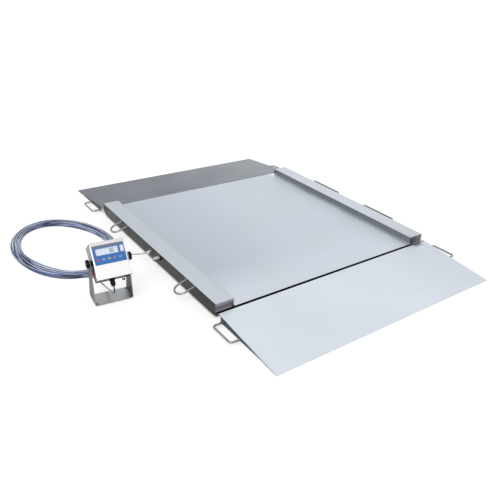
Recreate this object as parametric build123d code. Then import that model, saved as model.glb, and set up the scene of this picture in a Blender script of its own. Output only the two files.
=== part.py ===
from build123d import *
import math
import os

# A low drive-through floor scale. Two side beams carry a weighing pan, a ramp
# stands on the floor at each end, and an indicator on a bracket stands at the left.
# Millimetres. X runs across the scale, Y along the way a trolley rolls, Z is up.

# Amount by which a cutting tool runs past the face that it opens
cut_past = 1.0

# Weighing pan: a folded plate between the beams, a little longer than they are
pan_overhang = 17.5
pan_clear_width = 1400.0
pan_height = 50.0
pan_sheet = 5.0
pan_lip = 29.0
pan_bend = 9.0

# Cross ribs, hat sections welded under the pan from beam to beam
rib_count = 8
rib_end_inset = 120.0
rib_crown = 40.0
rib_foot = 20.0
rib_depth = 25.0
rib_sheet = 4.0

# Side beams: folded covers with chamfered ends
beam_width = 115.0
beam_length = 1465.0
beam_height = 90.0
beam_underside = 16.0
beam_sheet = 3.0
beam_bend = 6.0
beam_end_rise = 24.0
beam_end_run = 24.0

# Bottom tray of a beam
tray_sheet = 2.0
tray_flange = 14.0
tray_gap = 0.3
tray_end_gap = 12.0
tray_foot_hole = 42.0
tray_screw_count = 4
tray_screw_rise = 8.4
tray_screw_diameter = 5.0
tray_screw_head = 9.5
tray_screw_head_height = 2.5
tray_screw_tail = 3.0

# Shear beam load cells, one at each beam end
cell_length = 130.0
cell_section = 32.0
cell_end_inset = 32.5
cell_underside = 34.0
cell_edge = 1.5
cell_pocket_diameter = 22.0
cell_pocket_depth = 7.0
cell_bolt_inset = 14.0
cell_bolt_pitch = 28.0
cell_bolt_diameter = 12.0
cell_bolt_head = 18.0
cell_bolt_socket = 10.0
cell_bolt_gap = 0.5
cell_bolt_spare = 2.0
cell_stud_inset = 16.0
spacer_width = 44.0
spacer_overhang = 10.0
thread_gap = 0.06

# Screw feet
foot_pad_diameter = 50.0
foot_pad_rim = 4.0
foot_pad_height = 13.0
foot_pad_neck = 24.0
foot_pad_edge = 1.0
foot_ball_diameter = 13.0
foot_ball_height = 8.5
foot_neck_diameter = 8.4
foot_collar_flats = 15.0
foot_collar_height = 5.0
foot_collar_bottom = 16.5
foot_stud_diameter = 12.0
foot_nut_flats = 19.0
foot_nut_height = 8.0
foot_stud_engagement = 26.0

# Junction box in the left beam
box_length = 140.0
box_depth = 80.0
box_floor = 24.0
box_top = 80.0
box_wall = 3.0
box_lid = 4.0
box_lid_corner = 4.0
box_skid = 12.0
box_skid_inset = 8.0
box_screw_inset = 7.0
box_post = 10.0
lid_screw_diameter = 3.1
lid_screw_depth = 12.0
lid_screw_spare = 2.0
lid_screw_head = 7.2
lid_screw_head_height = 2.4
lid_hole_gap = 0.65
board_sheet = 1.6
board_inset = 14.0
board_lift = 6.0
board_post = 7.0
board_post_inset = 8.0
terminal_count = 5
terminal_pitch = 19.0
terminal_width = 10.0
terminal_length = 14.0
terminal_height = 9.0
box_gland_flats = 16.0
box_gland_hex = 6.4
box_gland_dome = 13.4
box_gland_length = 16.0
box_gland_grip = 8.0
lead_diameter = 5.0
lead_height = 34.0
lead_spacing = 70.0
lead_hole_gap = 1.5
lead_bend = 30.0
lead_drop_start = 60.0
lead_drop_run = 120.0
side_lead_height = 50.0

# Cable gland and vent plug on the left beam
beam_gland_y = -5.0
beam_gland_z = 56.0
gland_thread = 16.0
gland_flats = 22.0
gland_flange = 6.0
gland_dome = 26.0
gland_root = 21.0
gland_tip_diameter = 13.0
gland_taper = 12.0
gland_thread_spare = 6.0
gland_lip = 4.0
plug_y = -104.0
plug_z = 57.0
plug_diameter = 27.0
plug_length = 36.0
plug_flange = 6.0
plug_groove = 3.0
plug_groove_width = 5.0
plug_edge = 1.0
plug_nose = 7.0
plug_nose_inset = 6.0

# Bar handles
bar_diameter = 12.0
left_handle_spots = (-472.0, 385.0)
left_handle_span = 98.0
left_handle_reach = 96.0
left_handle_corner = 41.0
left_handle_height = 77.0
left_handle_drop = 28.0
right_handle_spots = (-306.0, 249.0)
right_handle_span = 298.0
right_handle_reach = 48.0
right_handle_corner = 16.0
right_handle_height = 70.0

# Ramps
ramp_gap = 8.0
ramp_length = 497.0
ramp_top = 51.0
ramp_sheet = 4.0
ramp_tip = 1.0
ramp_frame_setback = 26.0
ramp_frame_lift = 9.0
ramp_frame_sheet = 5.0
ramp_rib_count = 9
ramp_handle_start = 36.0
ramp_handle_span = 174.0
ramp_handle_reach = 64.0
ramp_handle_corner = 18.0
ramp_handle_height = 17.0
ramp_pad_width = 26.0
ramp_pad_length = 46.0
ramp_pad_grip = 7.0
ramp_pad_corner = 4.0
ramp_pad_spots = (40.0, 240.0)

# Indicator: place of its pivot, and how it is turned and tilted at rest
indicator_reach = 370.0
indicator_y = -269.0
pivot_height = 231.0
indicator_yaw = -6.0
indicator_tilt = 40.0

# Indicator housing, seen in its own frame: x across the face, y to the rear, z up the face
face_width = 182.0
face_height = 200.0
depth_top = 106.0
depth_bottom = 74.0
pivot_depth = 46.0
pivot_rise = 104.0
fold_height = 76.0
fold_forward = 7.0
fold_flare = 3.0
cover_depth = 14.0
cover_sheet = 2.0
cover_bend = 3.0
shell_sheet = 2.0
shell_corner = 4.0
neck_length = 7.0
neck_gap = 0.4
neck_sheet = 2.5
gasket_sheet = 1.5
cover_screw_diameter = 4.0
cover_screw_head = 7.0
cover_screw_head_height = 2.4
cover_screw_length = 6.0
cover_screw_hole = 8.0
cover_screw_spread = 76.0

# Keypad, windows and keys on the face
keypad_left = -82.0
keypad_right = 84.0
keypad_bottom = 78.0
keypad_top = 181.0
keypad_sheet = 1.2
keypad_corner = 4.0
lcd_left = -68.0
lcd_right = 50.0
lcd_bottom = 127.0
lcd_top = 163.0
bar_left = 60.0
bar_right = 79.0
window_corner = 2.0
window_gap = 0.25
window_sheet = 1.0
window_rim = 2.0
key_spots = (-64.0, -35.0, -6.0, 23.0, 52.0)
key_height = 104.0
key_diameter = 18.0
key_gap = 0.3
key_proud = 0.9
key_travel = 0.6
key_clear = 0.2
key_edge = 0.7
module_depth = 9.0
module_margins = (6.0, 3.0)
board_width = 150.0
board_height = 116.0
board_rise = 128.0

# Raised parts on the main board: place across, width, place up, height, thickness
board_parts = (
    (-40.0, 24.0, 8.0, 24.0, 7.0),
    (10.0, 30.0, 14.0, 18.0, 11.0),
    (48.0, 16.0, -8.0, 30.0, 9.0),
    (-10.0, 40.0, -30.0, 10.0, 8.0),
)

# Gland and connector below the housing
indicator_gland_x = -12.0
indicator_gland_y = 32.0
indicator_gland_thread = 20.0
indicator_gland_flats = 27.0
indicator_gland_flange = 7.0
indicator_gland_dome = 31.0
indicator_gland_root = 26.0
indicator_gland_tip = 19.0
connector_x = 48.0
connector_diameter = 14.0
connector_length = 11.0
connector_cap = 7.0
connector_rim = 1.0
connector_edge = 1.5

# Bracket, feet and knobs
bracket_width = 206.0
bracket_depth = 112.0
bracket_sheet = 3.0
bracket_bend = 6.0
bracket_top_radius = 20.0
bracket_base_band = 22.0
bracket_foot_height = 4.0
bracket_foot_diameter = 15.0
bracket_foot_inset = 12.0
bracket_foot_edge = 1.0
foot_stem_diameter = 8.0
foot_stem_gap = 0.2
foot_head_diameter = 11.0
foot_head_height = 2.0
stud_diameter = 8.0
stud_head_diameter = 14.0
stud_head_height = 4.0
stud_gap = 0.1
leg_hole_gap = 0.5
knob_diameter = 46.0
knob_length = 13.0
knob_lobes = 6
knob_dimple = 8.0
knob_dimple_inset = 4.4
knob_edge = 1.5
knob_boss_diameter = 20.0
knob_boss_length = 3.0
knob_bore = 12.0
knob_bore_gap = 0.5
running_gap = 0.3
bush_diameter = 30.0
boss_diameter = 18.0
boss_length = 10.0
boss_sink = 1.0

# Cable on the floor
cable_diameter = 8.0
coil_reach = 393.0
coil_y = 404.0
coil_outer = (306.0, 434.0)
coil_inner = (234.0, 344.0)
coil_turn = (3.0, 12.0)
coil_height = 30.0
coil_edge = 9.0

# The cable's two free stretches. Both start straight out of a gland. The rows are chosen
# by hand: x and y from the gland's tip, and the height as a share of the tip's height.
indicator_lead_out = 14.0
indicator_route = (
    (-1.0, -11.5, 0.79),
    (-3.0, -1.0, 0.655),
    (-1.0, 24.0, 0.575),
    (9.9, 66.9, 0.4913),
    (15.9, 115.9, 0.3249),
    (22.9, 164.9, 0.1823),
    (27.9, 213.9, 0.0792),
    (28.9, 262.9, 0.0436),
    (20.9, 307.9, 0.0555),
    (3.9, 347.9, 0.0792),
)
beam_lead_out = 20.0
beam_route = (
    (-38.0, 12.0, 0.9375),
    (-50.0, 34.0, 0.7857),
    (-57.0, 62.0, 0.5714),
    (-61.0, 96.0, 0.3393),
    (-63.0, 137.0, 0.1607),
    (-65.0, 186.0, 0.0982),
    (-69.0, 240.0, 0.125),
    (-79.0, 293.0, 0.2143),
)

# Values worked out from the sizes above
pan_length = beam_length + 2 * pan_overhang
rib_pitch = (pan_length - 2 * rib_end_inset) / (rib_count - 1)
half_pan = pan_clear_width / 2
half_width = half_pan + beam_width
beam_centre = half_pan + beam_width / 2
ramp_edge = pan_length / 2 + ramp_gap
ramp_slope = (ramp_top - ramp_tip) / ramp_length
ramp_thick = ramp_sheet * math.hypot(1, ramp_slope)
ramp_rib_outer = half_width - ramp_frame_sheet / 2
ramp_rib_pitch = 2 * ramp_rib_outer / (ramp_rib_count - 1)
tray_length = beam_length - 2 * (beam_end_run + tray_end_gap)
tray_screw_pitch = tray_length / tray_screw_count
tray_screw_spots = [(i - (tray_screw_count - 1) / 2) * tray_screw_pitch for i in range(tray_screw_count)]
tray_screw_z = beam_underside + tray_screw_rise
cell_outer_end = beam_length / 2 - cell_end_inset
cell_inner_end = cell_outer_end - cell_length
foot_y = cell_outer_end - cell_stud_inset
box_outer_x = -half_width + beam_sheet + tray_gap + tray_sheet + tray_gap
box_middle_x = box_outer_x + box_depth / 2
indicator_x = -half_width - indicator_reach
key_float = key_travel + key_clear
coil_x = -half_width - coil_reach
boss_inner = face_width / 2 - boss_length - boss_sink
leg_inner = bracket_width / 2 - bracket_sheet
knob_start = bracket_width / 2 + running_gap


def block(x0, x1, y0, y1, z0, z1):
    """A box between two corners."""
    centre = Pos((x0 + x1) / 2, (y0 + y1) / 2, (z0 + z1) / 2)
    return centre * Box(x1 - x0, y1 - y0, z1 - z0)


def rod(radius, start, end):
    """A round bar between two points."""
    start = Vector(*start)
    axis = Vector(*end) - start
    return extrude(Plane(origin=start, z_dir=axis) * Circle(radius), amount=axis.length)


def drill(radius, start, end):
    """A round cutting tool that runs a little past two points."""
    start = Vector(*start)
    end = Vector(*end)
    past = (end - start).normalized() * cut_past
    return rod(radius, start - past, end + past)


def hex_bar(flats, start, end):
    """A hexagonal bar between two points, measured across its flats."""
    start = Vector(*start)
    axis = Vector(*end) - start
    outline = Plane(origin=start, z_dir=axis) * RegularPolygon(flats / 2, 6, major_radius=False)
    return extrude(outline, amount=axis.length)


def bent_bar(points, corner, diameter):
    """A round bar bent to one corner radius along a path."""
    path = FilletPolyline(*points, radius=corner)
    return sweep(Plane(origin=path @ 0, z_dir=path % 0) * Circle(diameter / 2), path=path)


def side_outline(points):
    """A face in the YZ plane from (y, z) points."""
    return Plane.YZ * make_face(Polyline(*points, close=True))


def across(face, half):
    """Extrudes a face in the YZ plane to both sides."""
    return extrude(face, amount=half, both=True)


def group(solids):
    """One node that holds several separate solids."""
    return Compound(children=list(solids))


def folded_section(width, height, sheet, bend):
    """A channel in the XZ plane, open below, top face at z = 0."""
    outer = fillet_top(Rectangle(width, height), bend)
    inner = Pos(0, -sheet) * fillet_top(Rectangle(width - 2 * sheet, height), bend - sheet)
    return Plane.XZ * (Pos(0, -height / 2) * (outer - inner))


def fillet_top(sketch, radius):
    """Rounds the two upper corners of a sketch."""
    return fillet(sketch.vertices().sort_by(Axis.Y)[-2:], radius)


# Weighing pan

def weighing_pan():
    section = Rot(0, 0, 90) * folded_section(pan_length, pan_lip, pan_sheet, pan_bend)
    return Pos(0, 0, pan_height) * across(section, half_pan)


def cross_rib(y):
    half = rib_crown / 2
    reach = half + rib_foot
    top = pan_height - pan_sheet
    low = top - rib_depth
    outline = side_outline([
        (y - reach, top), (y - reach, top - rib_sheet), (y - half - rib_sheet, top - rib_sheet),
        (y - half, low), (y + half, low), (y + half + rib_sheet, top - rib_sheet),
        (y + reach, top - rib_sheet), (y + reach, top), (y + half, top),
        (y + half - rib_sheet, low + rib_sheet), (y - half + rib_sheet, low + rib_sheet), (y - half, top),
    ])
    return across(outline, half_pan)


def cross_ribs():
    first = -(rib_count - 1) * rib_pitch / 2
    return group(cross_rib(first + i * rib_pitch) for i in range(rib_count))


# Side beams

def beam_blank():
    """The closed outer form of a beam, centred on x = 0."""
    end = beam_length / 2
    low_end = end - beam_end_run
    knee = beam_underside + beam_end_rise
    outline = side_outline([
        (-end, beam_height), (-end, knee), (-low_end, beam_underside),
        (low_end, beam_underside), (end, knee), (end, beam_height),
    ])
    blank = across(outline, beam_width / 2)
    top = blank.faces().sort_by(Axis.Z)[-1]
    return fillet(top.edges().filter_by(Axis.Y), beam_bend)


def beam_cover(side):
    """Folded cover, open below. Side is -1 for the left beam and 1 for the right one."""
    blank = beam_blank()
    cover = offset(blank, amount=-beam_sheet, openings=blank.faces().sort_by(Axis.Z)[0])
    cover = Pos(side * beam_centre, 0, 0) * cover
    wall_near = side * half_pan
    wall_far = side * (half_pan + beam_sheet)
    screw_hole = tray_screw_diameter / 2 + thread_gap
    for y in tray_screw_spots:
        cover -= drill(screw_hole, (wall_near, y, tray_screw_z), (wall_far, y, tray_screw_z))
    lead_hole = lead_diameter / 2 + lead_hole_gap
    for y in (-lead_spacing / 2, lead_spacing / 2):
        cover -= drill(lead_hole, (wall_near, y, lead_height), (wall_far, y, lead_height))
    if side < 0:
        for y, z in ((beam_gland_y, beam_gland_z), (plug_y, plug_z)):
            cover -= drill(gland_thread / 2, (-half_width, y, z), (-half_width + beam_sheet, y, z))
    return cover


def beam_tray(side):
    """Bottom tray with two upturned flanges and a hole at each foot."""
    width = beam_width - 2 * (beam_sheet + tray_gap)
    section = folded_section(width, tray_flange, tray_sheet, 2 * tray_sheet)
    tray = Rot(180, 0, 0) * extrude(section, amount=tray_length / 2, both=True)
    tray = Pos(side * beam_centre, 0, beam_underside) * tray
    for y in (-foot_y, foot_y):
        tray -= rod(tray_foot_hole / 2, (side * beam_centre, y, 0), (side * beam_centre, y, cell_underside))
    flange_near = side * (half_pan + beam_sheet + tray_gap)
    flange_far = flange_near + side * tray_sheet
    hole = tray_screw_diameter / 2 + thread_gap
    for y in tray_screw_spots:
        tray -= drill(hole, (flange_near, y, tray_screw_z), (flange_far, y, tray_screw_z))
    return tray


def tray_screws():
    """Domed screws that hold both trays through the inner walls."""
    screws = []
    for side in (-1, 1):
        wall = side * half_pan
        tail = wall + side * (beam_sheet + tray_gap + tray_sheet + tray_screw_tail)
        crown = wall - side * tray_screw_head_height
        for y in tray_screw_spots:
            shank = rod(tray_screw_diameter / 2, (wall, y, tray_screw_z), (tail, y, tray_screw_z))
            head = rod(tray_screw_head / 2, (crown, y, tray_screw_z), (wall, y, tray_screw_z))
            screws.append(head + shank)
    return screws


# Load cells

def load_cell():
    """A cell along Y in its own frame: y = 0 at its inner end, its underside at z = 0."""
    half = cell_section / 2
    cell = block(-half, half, 0, cell_length, 0, cell_section)
    cell = chamfer(cell.edges().filter_by(Axis.Y), cell_edge)
    stud_y = cell_length - cell_stud_inset
    gauge_y = (cell_bolt_inset + cell_bolt_pitch + stud_y) / 2
    for side in (-1, 1):
        bottom = side * (half - cell_pocket_depth)
        mouth = side * (half + cut_past)
        cell -= rod(cell_pocket_diameter / 2, (bottom, gauge_y, half), (mouth, gauge_y, half))
    for y in (cell_bolt_inset, cell_bolt_inset + cell_bolt_pitch):
        cell -= drill(cell_bolt_diameter / 2 + cell_bolt_gap, (0, y, 0), (0, y, cell_section))
    return cell - drill(foot_stud_diameter / 2 + thread_gap, (0, stud_y, 0), (0, stud_y, cell_section))


def at_corner(shape, side, end):
    """Moves a cell, spacer or bolt from the cell's frame to one corner of the scale."""
    turn = 0 if end > 0 else 180
    return Pos(side * beam_centre, end * cell_inner_end, cell_underside) * Rot(0, 0, turn) * shape


def cell_spacer():
    """Block between a cell's fixed end and the beam's top."""
    top = beam_height - beam_sheet - cell_underside
    far = cell_bolt_inset + cell_bolt_pitch + cell_bolt_inset
    half = spacer_width / 2
    spacer = block(-half, half, -spacer_overhang, far, cell_section, top)
    for y in (cell_bolt_inset, cell_bolt_inset + cell_bolt_pitch):
        spacer -= drill(cell_bolt_diameter / 2 + thread_gap, (0, y, cell_section), (0, y, top))
    return spacer


def cell_bolts():
    """The two socket head bolts of one cell."""
    bolts = []
    shank_top = beam_height - beam_sheet - cell_underside - cell_bolt_spare
    head_low = -cell_bolt_diameter
    for y in (cell_bolt_inset, cell_bolt_inset + cell_bolt_pitch):
        bolt = rod(cell_bolt_diameter / 2, (0, y, 0), (0, y, shank_top))
        bolt += rod(cell_bolt_head / 2, (0, y, head_low), (0, y, 0))
        bolt -= hex_bar(cell_bolt_socket, (0, y, head_low - cut_past), (0, y, head_low / 2))
        bolts.append(bolt)
    return bolts


# Screw feet

def foot_pad():
    """Swivel pad with a ball socket, standing on z = 0."""
    rim = foot_pad_diameter / 2
    neck = foot_pad_neck / 2
    outline = Plane.XZ * make_face(Polyline(
        (0, 0), (rim - foot_pad_edge, 0), (rim, foot_pad_edge), (rim, foot_pad_rim),
        (neck, foot_pad_height), (0, foot_pad_height), close=True,
    ))
    socket = Pos(0, 0, foot_ball_height) * Sphere(foot_ball_diameter / 2 + thread_gap)
    return revolve(outline, Axis.Z) - socket


def foot_stud():
    """Ball end, neck, collar and threaded stud."""
    ball = Pos(0, 0, foot_ball_height) * Sphere(foot_ball_diameter / 2)
    collar_top = foot_collar_bottom + foot_collar_height
    neck = rod(foot_neck_diameter / 2, (0, 0, foot_ball_height), (0, 0, foot_collar_bottom))
    collar = hex_bar(foot_collar_flats, (0, 0, foot_collar_bottom), (0, 0, collar_top))
    stud = rod(foot_stud_diameter / 2, (0, 0, collar_top), (0, 0, cell_underside + foot_stud_engagement))
    return ball + neck + collar + stud


def foot_nut():
    """Lock nut under the cell."""
    bottom = cell_underside - foot_nut_height
    nut = hex_bar(foot_nut_flats, (0, 0, bottom), (0, 0, cell_underside))
    return nut - drill(foot_stud_diameter / 2 + thread_gap, (0, 0, bottom), (0, 0, cell_underside))


# Junction box

def box_frame():
    """Corners of the junction box in the left beam: x low, x high, y low, y high."""
    return box_outer_x, box_outer_x + box_depth, -box_length / 2, box_length / 2


def box_posts():
    """Places of the four lid screw posts."""
    x0, x1, y0, y1 = box_frame()
    inset = box_screw_inset
    return [(x, y) for x in (x0 + inset, x1 - inset) for y in (y0 + inset, y1 - inset)]


def junction_box():
    x0, x1, y0, y1 = box_frame()
    rim = box_top - box_lid
    floor = box_floor + box_wall
    housing = block(x0, x1, y0, y1, box_floor, rim)
    housing -= block(x0 + box_wall, x1 - box_wall, y0 + box_wall, y1 - box_wall, floor, rim + cut_past)
    half = box_post / 2
    hole_low = rim - lid_screw_depth - lid_screw_spare
    for x, y in box_posts():
        housing += block(x - half, x + half, y - half, y + half, box_floor, rim)
        housing -= rod(lid_screw_diameter / 2 + thread_gap, (x, y, hole_low), (x, y, rim + cut_past))
    tray_top = beam_underside + tray_sheet
    half = box_skid / 2
    for y in (y0 + box_skid, y1 - box_skid):
        housing += block(x0 + box_skid_inset, x1 - box_skid_inset, y - half, y + half, tray_top, box_floor)
    wall = (x0, beam_gland_y, beam_gland_z), (x0 + box_wall, beam_gland_y, beam_gland_z)
    housing -= drill(gland_thread / 2, *wall)
    for place, outward in box_gland_places():
        inside = Vector(*place) - Vector(*outward) * box_wall
        housing -= drill(lead_diameter / 2 + lead_hole_gap, inside, place)
    return housing


def box_gland_places():
    """Place on the box's outer wall and outward direction of the four small glands."""
    box_end = box_length / 2
    box_side = box_outer_x + box_depth
    places = [((-beam_centre, end * box_end, side_lead_height), (0, end, 0)) for end in (-1, 1)]
    places += [((box_side, end * lead_spacing / 2, lead_height), (1, 0, 0)) for end in (-1, 1)]
    return places


def box_gland(place, outward):
    """A small gland on the box: hexagon, dome and the bore for one lead."""
    base = Vector(*place)
    axis = Vector(*outward)
    knee = base + axis * box_gland_hex
    tip = base + axis * box_gland_length
    gland = hex_bar(box_gland_flats, base, knee) + rod(box_gland_dome / 2, knee, tip)
    return gland - drill(lead_diameter / 2 + running_gap, base, tip)


def junction_lid():
    x0, x1, y0, y1 = box_frame()
    under = box_top - box_lid
    lid = block(x0, x1, y0, y1, under, box_top)
    lid = fillet(lid.edges().filter_by(Axis.Z), box_lid_corner)
    for x, y in box_posts():
        lid -= drill(lid_screw_diameter / 2 + lid_hole_gap, (x, y, under), (x, y, box_top))
    return lid


def lid_screws():
    tip = box_top - box_lid - lid_screw_depth
    screws = []
    for x, y in box_posts():
        head = rod(lid_screw_head / 2, (x, y, box_top), (x, y, box_top + lid_screw_head_height))
        screws.append(head + rod(lid_screw_diameter / 2, (x, y, tip), (x, y, box_top)))
    return screws


def junction_board():
    """Circuit board on four posts, with a row of terminal blocks."""
    x0, x1, y0, y1 = box_frame()
    floor = box_floor + box_wall
    bottom = floor + board_lift
    top = bottom + board_sheet
    board = block(x0 + board_inset, x1 - board_inset, y0 + board_inset, y1 - board_inset, bottom, top)
    half_x, half_y = terminal_width / 2, terminal_length / 2
    for i in range(terminal_count):
        y = (i - (terminal_count - 1) / 2) * terminal_pitch
        board += block(
            box_middle_x - half_x, box_middle_x + half_x, y - half_y, y + half_y, top, top + terminal_height,
        )
    inset = board_inset + board_post_inset
    for x in (x0 + inset, x1 - inset):
        for y in (y0 + inset, y1 - inset):
            board += rod(board_post / 2, (x, y, floor), (x, y, bottom))
    return board


def cell_leads():
    """One lead from each cell to the junction box, clipped inside beams and under the pan."""
    leads = []
    exit_z = cell_underside + cell_section / 2
    into_gland = box_gland_length - box_gland_grip
    for end in (-1, 1):
        start = (-beam_centre, end * cell_inner_end, exit_z)
        stop = (-beam_centre, end * (box_length / 2 + into_gland), side_lead_height)
        leads.append(rod(lead_diameter / 2, start, stop))
        y = end * lead_spacing / 2
        drop = cell_inner_end - lead_drop_start
        path = [
            (beam_centre, end * cell_inner_end, exit_z), (beam_centre, end * drop, exit_z),
            (beam_centre, end * (drop - lead_drop_run), lead_height), (beam_centre, y, lead_height),
            (box_outer_x + box_depth + into_gland, y, lead_height),
        ]
        leads.append(bent_bar(path, lead_bend, lead_diameter))
    return group(leads)


# Gland, vent plug and handles on the beams

def dome_gland(wall, thread, flats, flange, root, dome, tip_diameter):
    """A cable gland along +Z from z = 0, with its thread below, through a wall."""
    tip = flange + dome
    inner_end = -wall - gland_thread_spare
    body = rod(thread / 2 - thread_gap, (0, 0, inner_end), (0, 0, 0))
    body += hex_bar(flats, (0, 0, 0), (0, 0, flange))
    outline = Plane.XZ * make_face(Polyline(
        (0, flange), (root / 2, flange), (root / 2, tip - gland_taper), (tip_diameter / 2, tip), (0, tip),
        close=True,
    ))
    body += revolve(outline, Axis.Z)
    return body - rod(cable_diameter / 2, (0, 0, inner_end - cut_past), (0, 0, tip - gland_lip))


def outward_left(y, z):
    """Frame on the outer face of the left beam, with +Z pointing away from it."""
    return Pos(-half_width, y, z) * Rot(0, -90, 0)


def beam_gland():
    wall = box_outer_x + half_width + box_wall
    gland = dome_gland(
        wall, gland_thread, gland_flats, gland_flange, gland_root, gland_dome, gland_tip_diameter,
    )
    return outward_left(beam_gland_y, beam_gland_z) * gland


def vent_plug():
    """Round capped vent plug: flange, grooved cap and thread."""
    radius = plug_diameter / 2
    thread = gland_thread / 2 - thread_gap
    inner_end = -beam_sheet - gland_thread_spare
    waist = radius - plug_groove
    cap = plug_flange + plug_groove_width
    outline = Plane.XZ * make_face(Polyline(
        (0, inner_end), (thread, inner_end), (thread, 0), (radius, 0), (radius, plug_flange),
        (waist, plug_flange + plug_edge), (waist, cap - plug_edge), (radius, cap),
        (radius, plug_length - plug_nose), (radius - plug_nose_inset, plug_length), (0, plug_length),
        close=True,
    ))
    return outward_left(plug_y, plug_z) * revolve(outline, Axis.Z)


def wall_handle(side, y, z, span, reach, corner, drop=0.0):
    """A bar handle on an outer wall, with both legs welded to it. It may hang down outwards."""
    run = reach - bar_diameter / 2
    far = side * (half_width + run)
    inside = side * (half_width - bar_diameter)
    inside_z = z + drop * bar_diameter / run
    half = (span - bar_diameter) / 2
    bar = bent_bar(
        [(inside, y - half, inside_z), (far, y - half, z - drop), (far, y + half, z - drop),
         (inside, y + half, inside_z)],
        corner, bar_diameter,
    )
    low_x, high_x = sorted((0, side * half_width))
    return bar - block(low_x, high_x, y - span, y + span, 0, 2 * beam_height)


def left_handles():
    return group(
        wall_handle(
            -1, y, left_handle_height, left_handle_span, left_handle_reach, left_handle_corner,
            left_handle_drop,
        )
        for y in left_handle_spots
    )


def right_handles():
    return group(
        wall_handle(
            1, y, right_handle_height, right_handle_span, right_handle_reach, right_handle_corner,
        )
        for y in right_handle_spots
    )


# Ramps, built at the front and mirrored to the rear

def ramp_surface(distance):
    """Height of the ramp's top surface at a distance from its upper edge."""
    return ramp_top - ramp_slope * distance


def ramp_plate():
    flat = (ramp_thick - ramp_tip) / ramp_slope
    low = -ramp_edge - ramp_length
    outline = side_outline([
        (-ramp_edge, ramp_top), (low, ramp_tip), (low, 0), (low + flat, 0),
        (-ramp_edge, ramp_top - ramp_thick),
    ])
    return across(outline, half_width)


def ramp_frame():
    """Wedge ribs, the outer ones showing as side gussets, and a cross bar behind the upper edge."""
    end = (ramp_top - ramp_thick - ramp_frame_lift) / ramp_slope
    bar_back = ramp_frame_setback + ramp_frame_sheet

    def wedge(x, start):
        outline = side_outline([
            (-ramp_edge - start, ramp_frame_lift), (-ramp_edge - end, ramp_frame_lift),
            (-ramp_edge - start, ramp_surface(start) - ramp_thick),
        ])
        return Pos(x, 0, 0) * across(outline, ramp_frame_sheet / 2)

    solids = [wedge(side * ramp_rib_outer, ramp_frame_setback) for side in (-1, 1)]
    for i in range(1, ramp_rib_count - 1):
        solids.append(wedge(-ramp_rib_outer + i * ramp_rib_pitch, bar_back))
    bar = side_outline([
        (-ramp_edge - ramp_frame_setback, ramp_frame_lift), (-ramp_edge - bar_back, ramp_frame_lift),
        (-ramp_edge - bar_back, ramp_surface(bar_back) - ramp_thick),
        (-ramp_edge - ramp_frame_setback, ramp_surface(ramp_frame_setback) - ramp_thick),
    ])
    solids.append(across(bar, half_width - ramp_frame_sheet))
    return group(solids)


def ramp_pads():
    """Rubber pads that clip on the lower edges of every other rib and stand on the floor."""
    half_x, half_y = ramp_pad_width / 2, ramp_pad_length / 2
    half_slot = ramp_frame_sheet / 2
    top = ramp_frame_lift + ramp_pad_grip
    pads = []
    for i in range(1, ramp_rib_count - 1, 2):
        x = -ramp_rib_outer + i * ramp_rib_pitch
        for distance in ramp_pad_spots:
            y = -ramp_edge - ramp_frame_setback - distance
            pad = block(x - half_x, x + half_x, y - half_y, y + half_y, 0, top)
            pad = chamfer(pad.edges().filter_by(Axis.Z), ramp_pad_corner)
            pads.append(pad - block(
                x - half_slot, x + half_slot, y - ramp_pad_length, y + ramp_pad_length,
                ramp_frame_lift, top + cut_past,
            ))
    return group(pads)


def ramp_handles():
    y = -ramp_edge - ramp_handle_start - ramp_handle_span / 2
    return group(
        wall_handle(side, y, ramp_handle_height, ramp_handle_span, ramp_handle_reach, ramp_handle_corner)
        for side in (-1, 1)
    )


# Indicator housing. Points on its side are (y, z) counted from the pivot.

def face_point(depth, rise):
    return depth - pivot_depth, rise - pivot_rise


def housing_outline(front):
    """Side outline from a depth behind the face to the rear."""
    slope_top = face_point(depth_top, face_height)
    slope_bottom = face_point(depth_bottom, 0)
    return side_outline([face_point(front, 0), slope_bottom, slope_top, face_point(front, face_height)])


def rear_shell():
    """Rear half: a folded box that deepens upwards, a neck inside the front cover and pivot bosses."""
    shoulder = cover_depth + gasket_sheet
    half = face_width / 2
    blank = across(housing_outline(shoulder), half)
    front = blank.faces().sort_by(Axis.Y)[0]
    blank = fillet([edge for edge in blank.edges() if edge not in front.edges()], shell_corner)
    front = blank.faces().sort_by(Axis.Y)[0]
    shell = offset(blank, amount=-shell_sheet, openings=front)
    y, _ = face_point(shoulder, 0)
    shoulder_ring = blank & block(-half, half, y, y + shell_sheet, -face_height, face_height)
    shell += shoulder_ring
    neck_out = cover_sheet + neck_gap
    neck_in = neck_out + neck_sheet
    y0 = face_point(cover_depth - neck_length, 0)[0]
    y1 = face_point(shoulder, 0)[0]
    z0, z1 = (face_point(0, level)[1] for level in (neck_out, face_height - neck_out))
    shell += block(-half + neck_out, half - neck_out, y0, y1, z0, z1)
    z0, z1 = (face_point(0, level)[1] for level in (neck_in, face_height - neck_in))
    shell -= block(-half + neck_in, half - neck_in, y0 - cut_past, y1 + shell_sheet + cut_past, z0, z1)
    for side in (-1, 1):
        inner_end = (side * boss_inner, 0, 0)
        shell += rod(boss_diameter / 2, inner_end, (side * (half - boss_sink), 0, 0))
        shell -= drill(stud_diameter / 2 + thread_gap, inner_end, (side * half, 0, 0))
    x = indicator_gland_x
    y, z = face_point(indicator_gland_y, 0)
    shell -= drill(indicator_gland_thread / 2, (x, y, z), (x, y, z + shell_sheet))
    return shell - cover_screw_holes()


def cover_screw_places():
    """Across, depth and height from the pivot, and outward direction, of the four cover screws."""
    y = face_point(cover_depth - neck_length / 2, 0)[0]
    levels = ((face_point(0, 0)[1], -1), (face_point(0, face_height)[1], 1))
    return [(side * cover_screw_spread, y, z, out) for side in (-1, 1) for z, out in levels]


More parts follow.
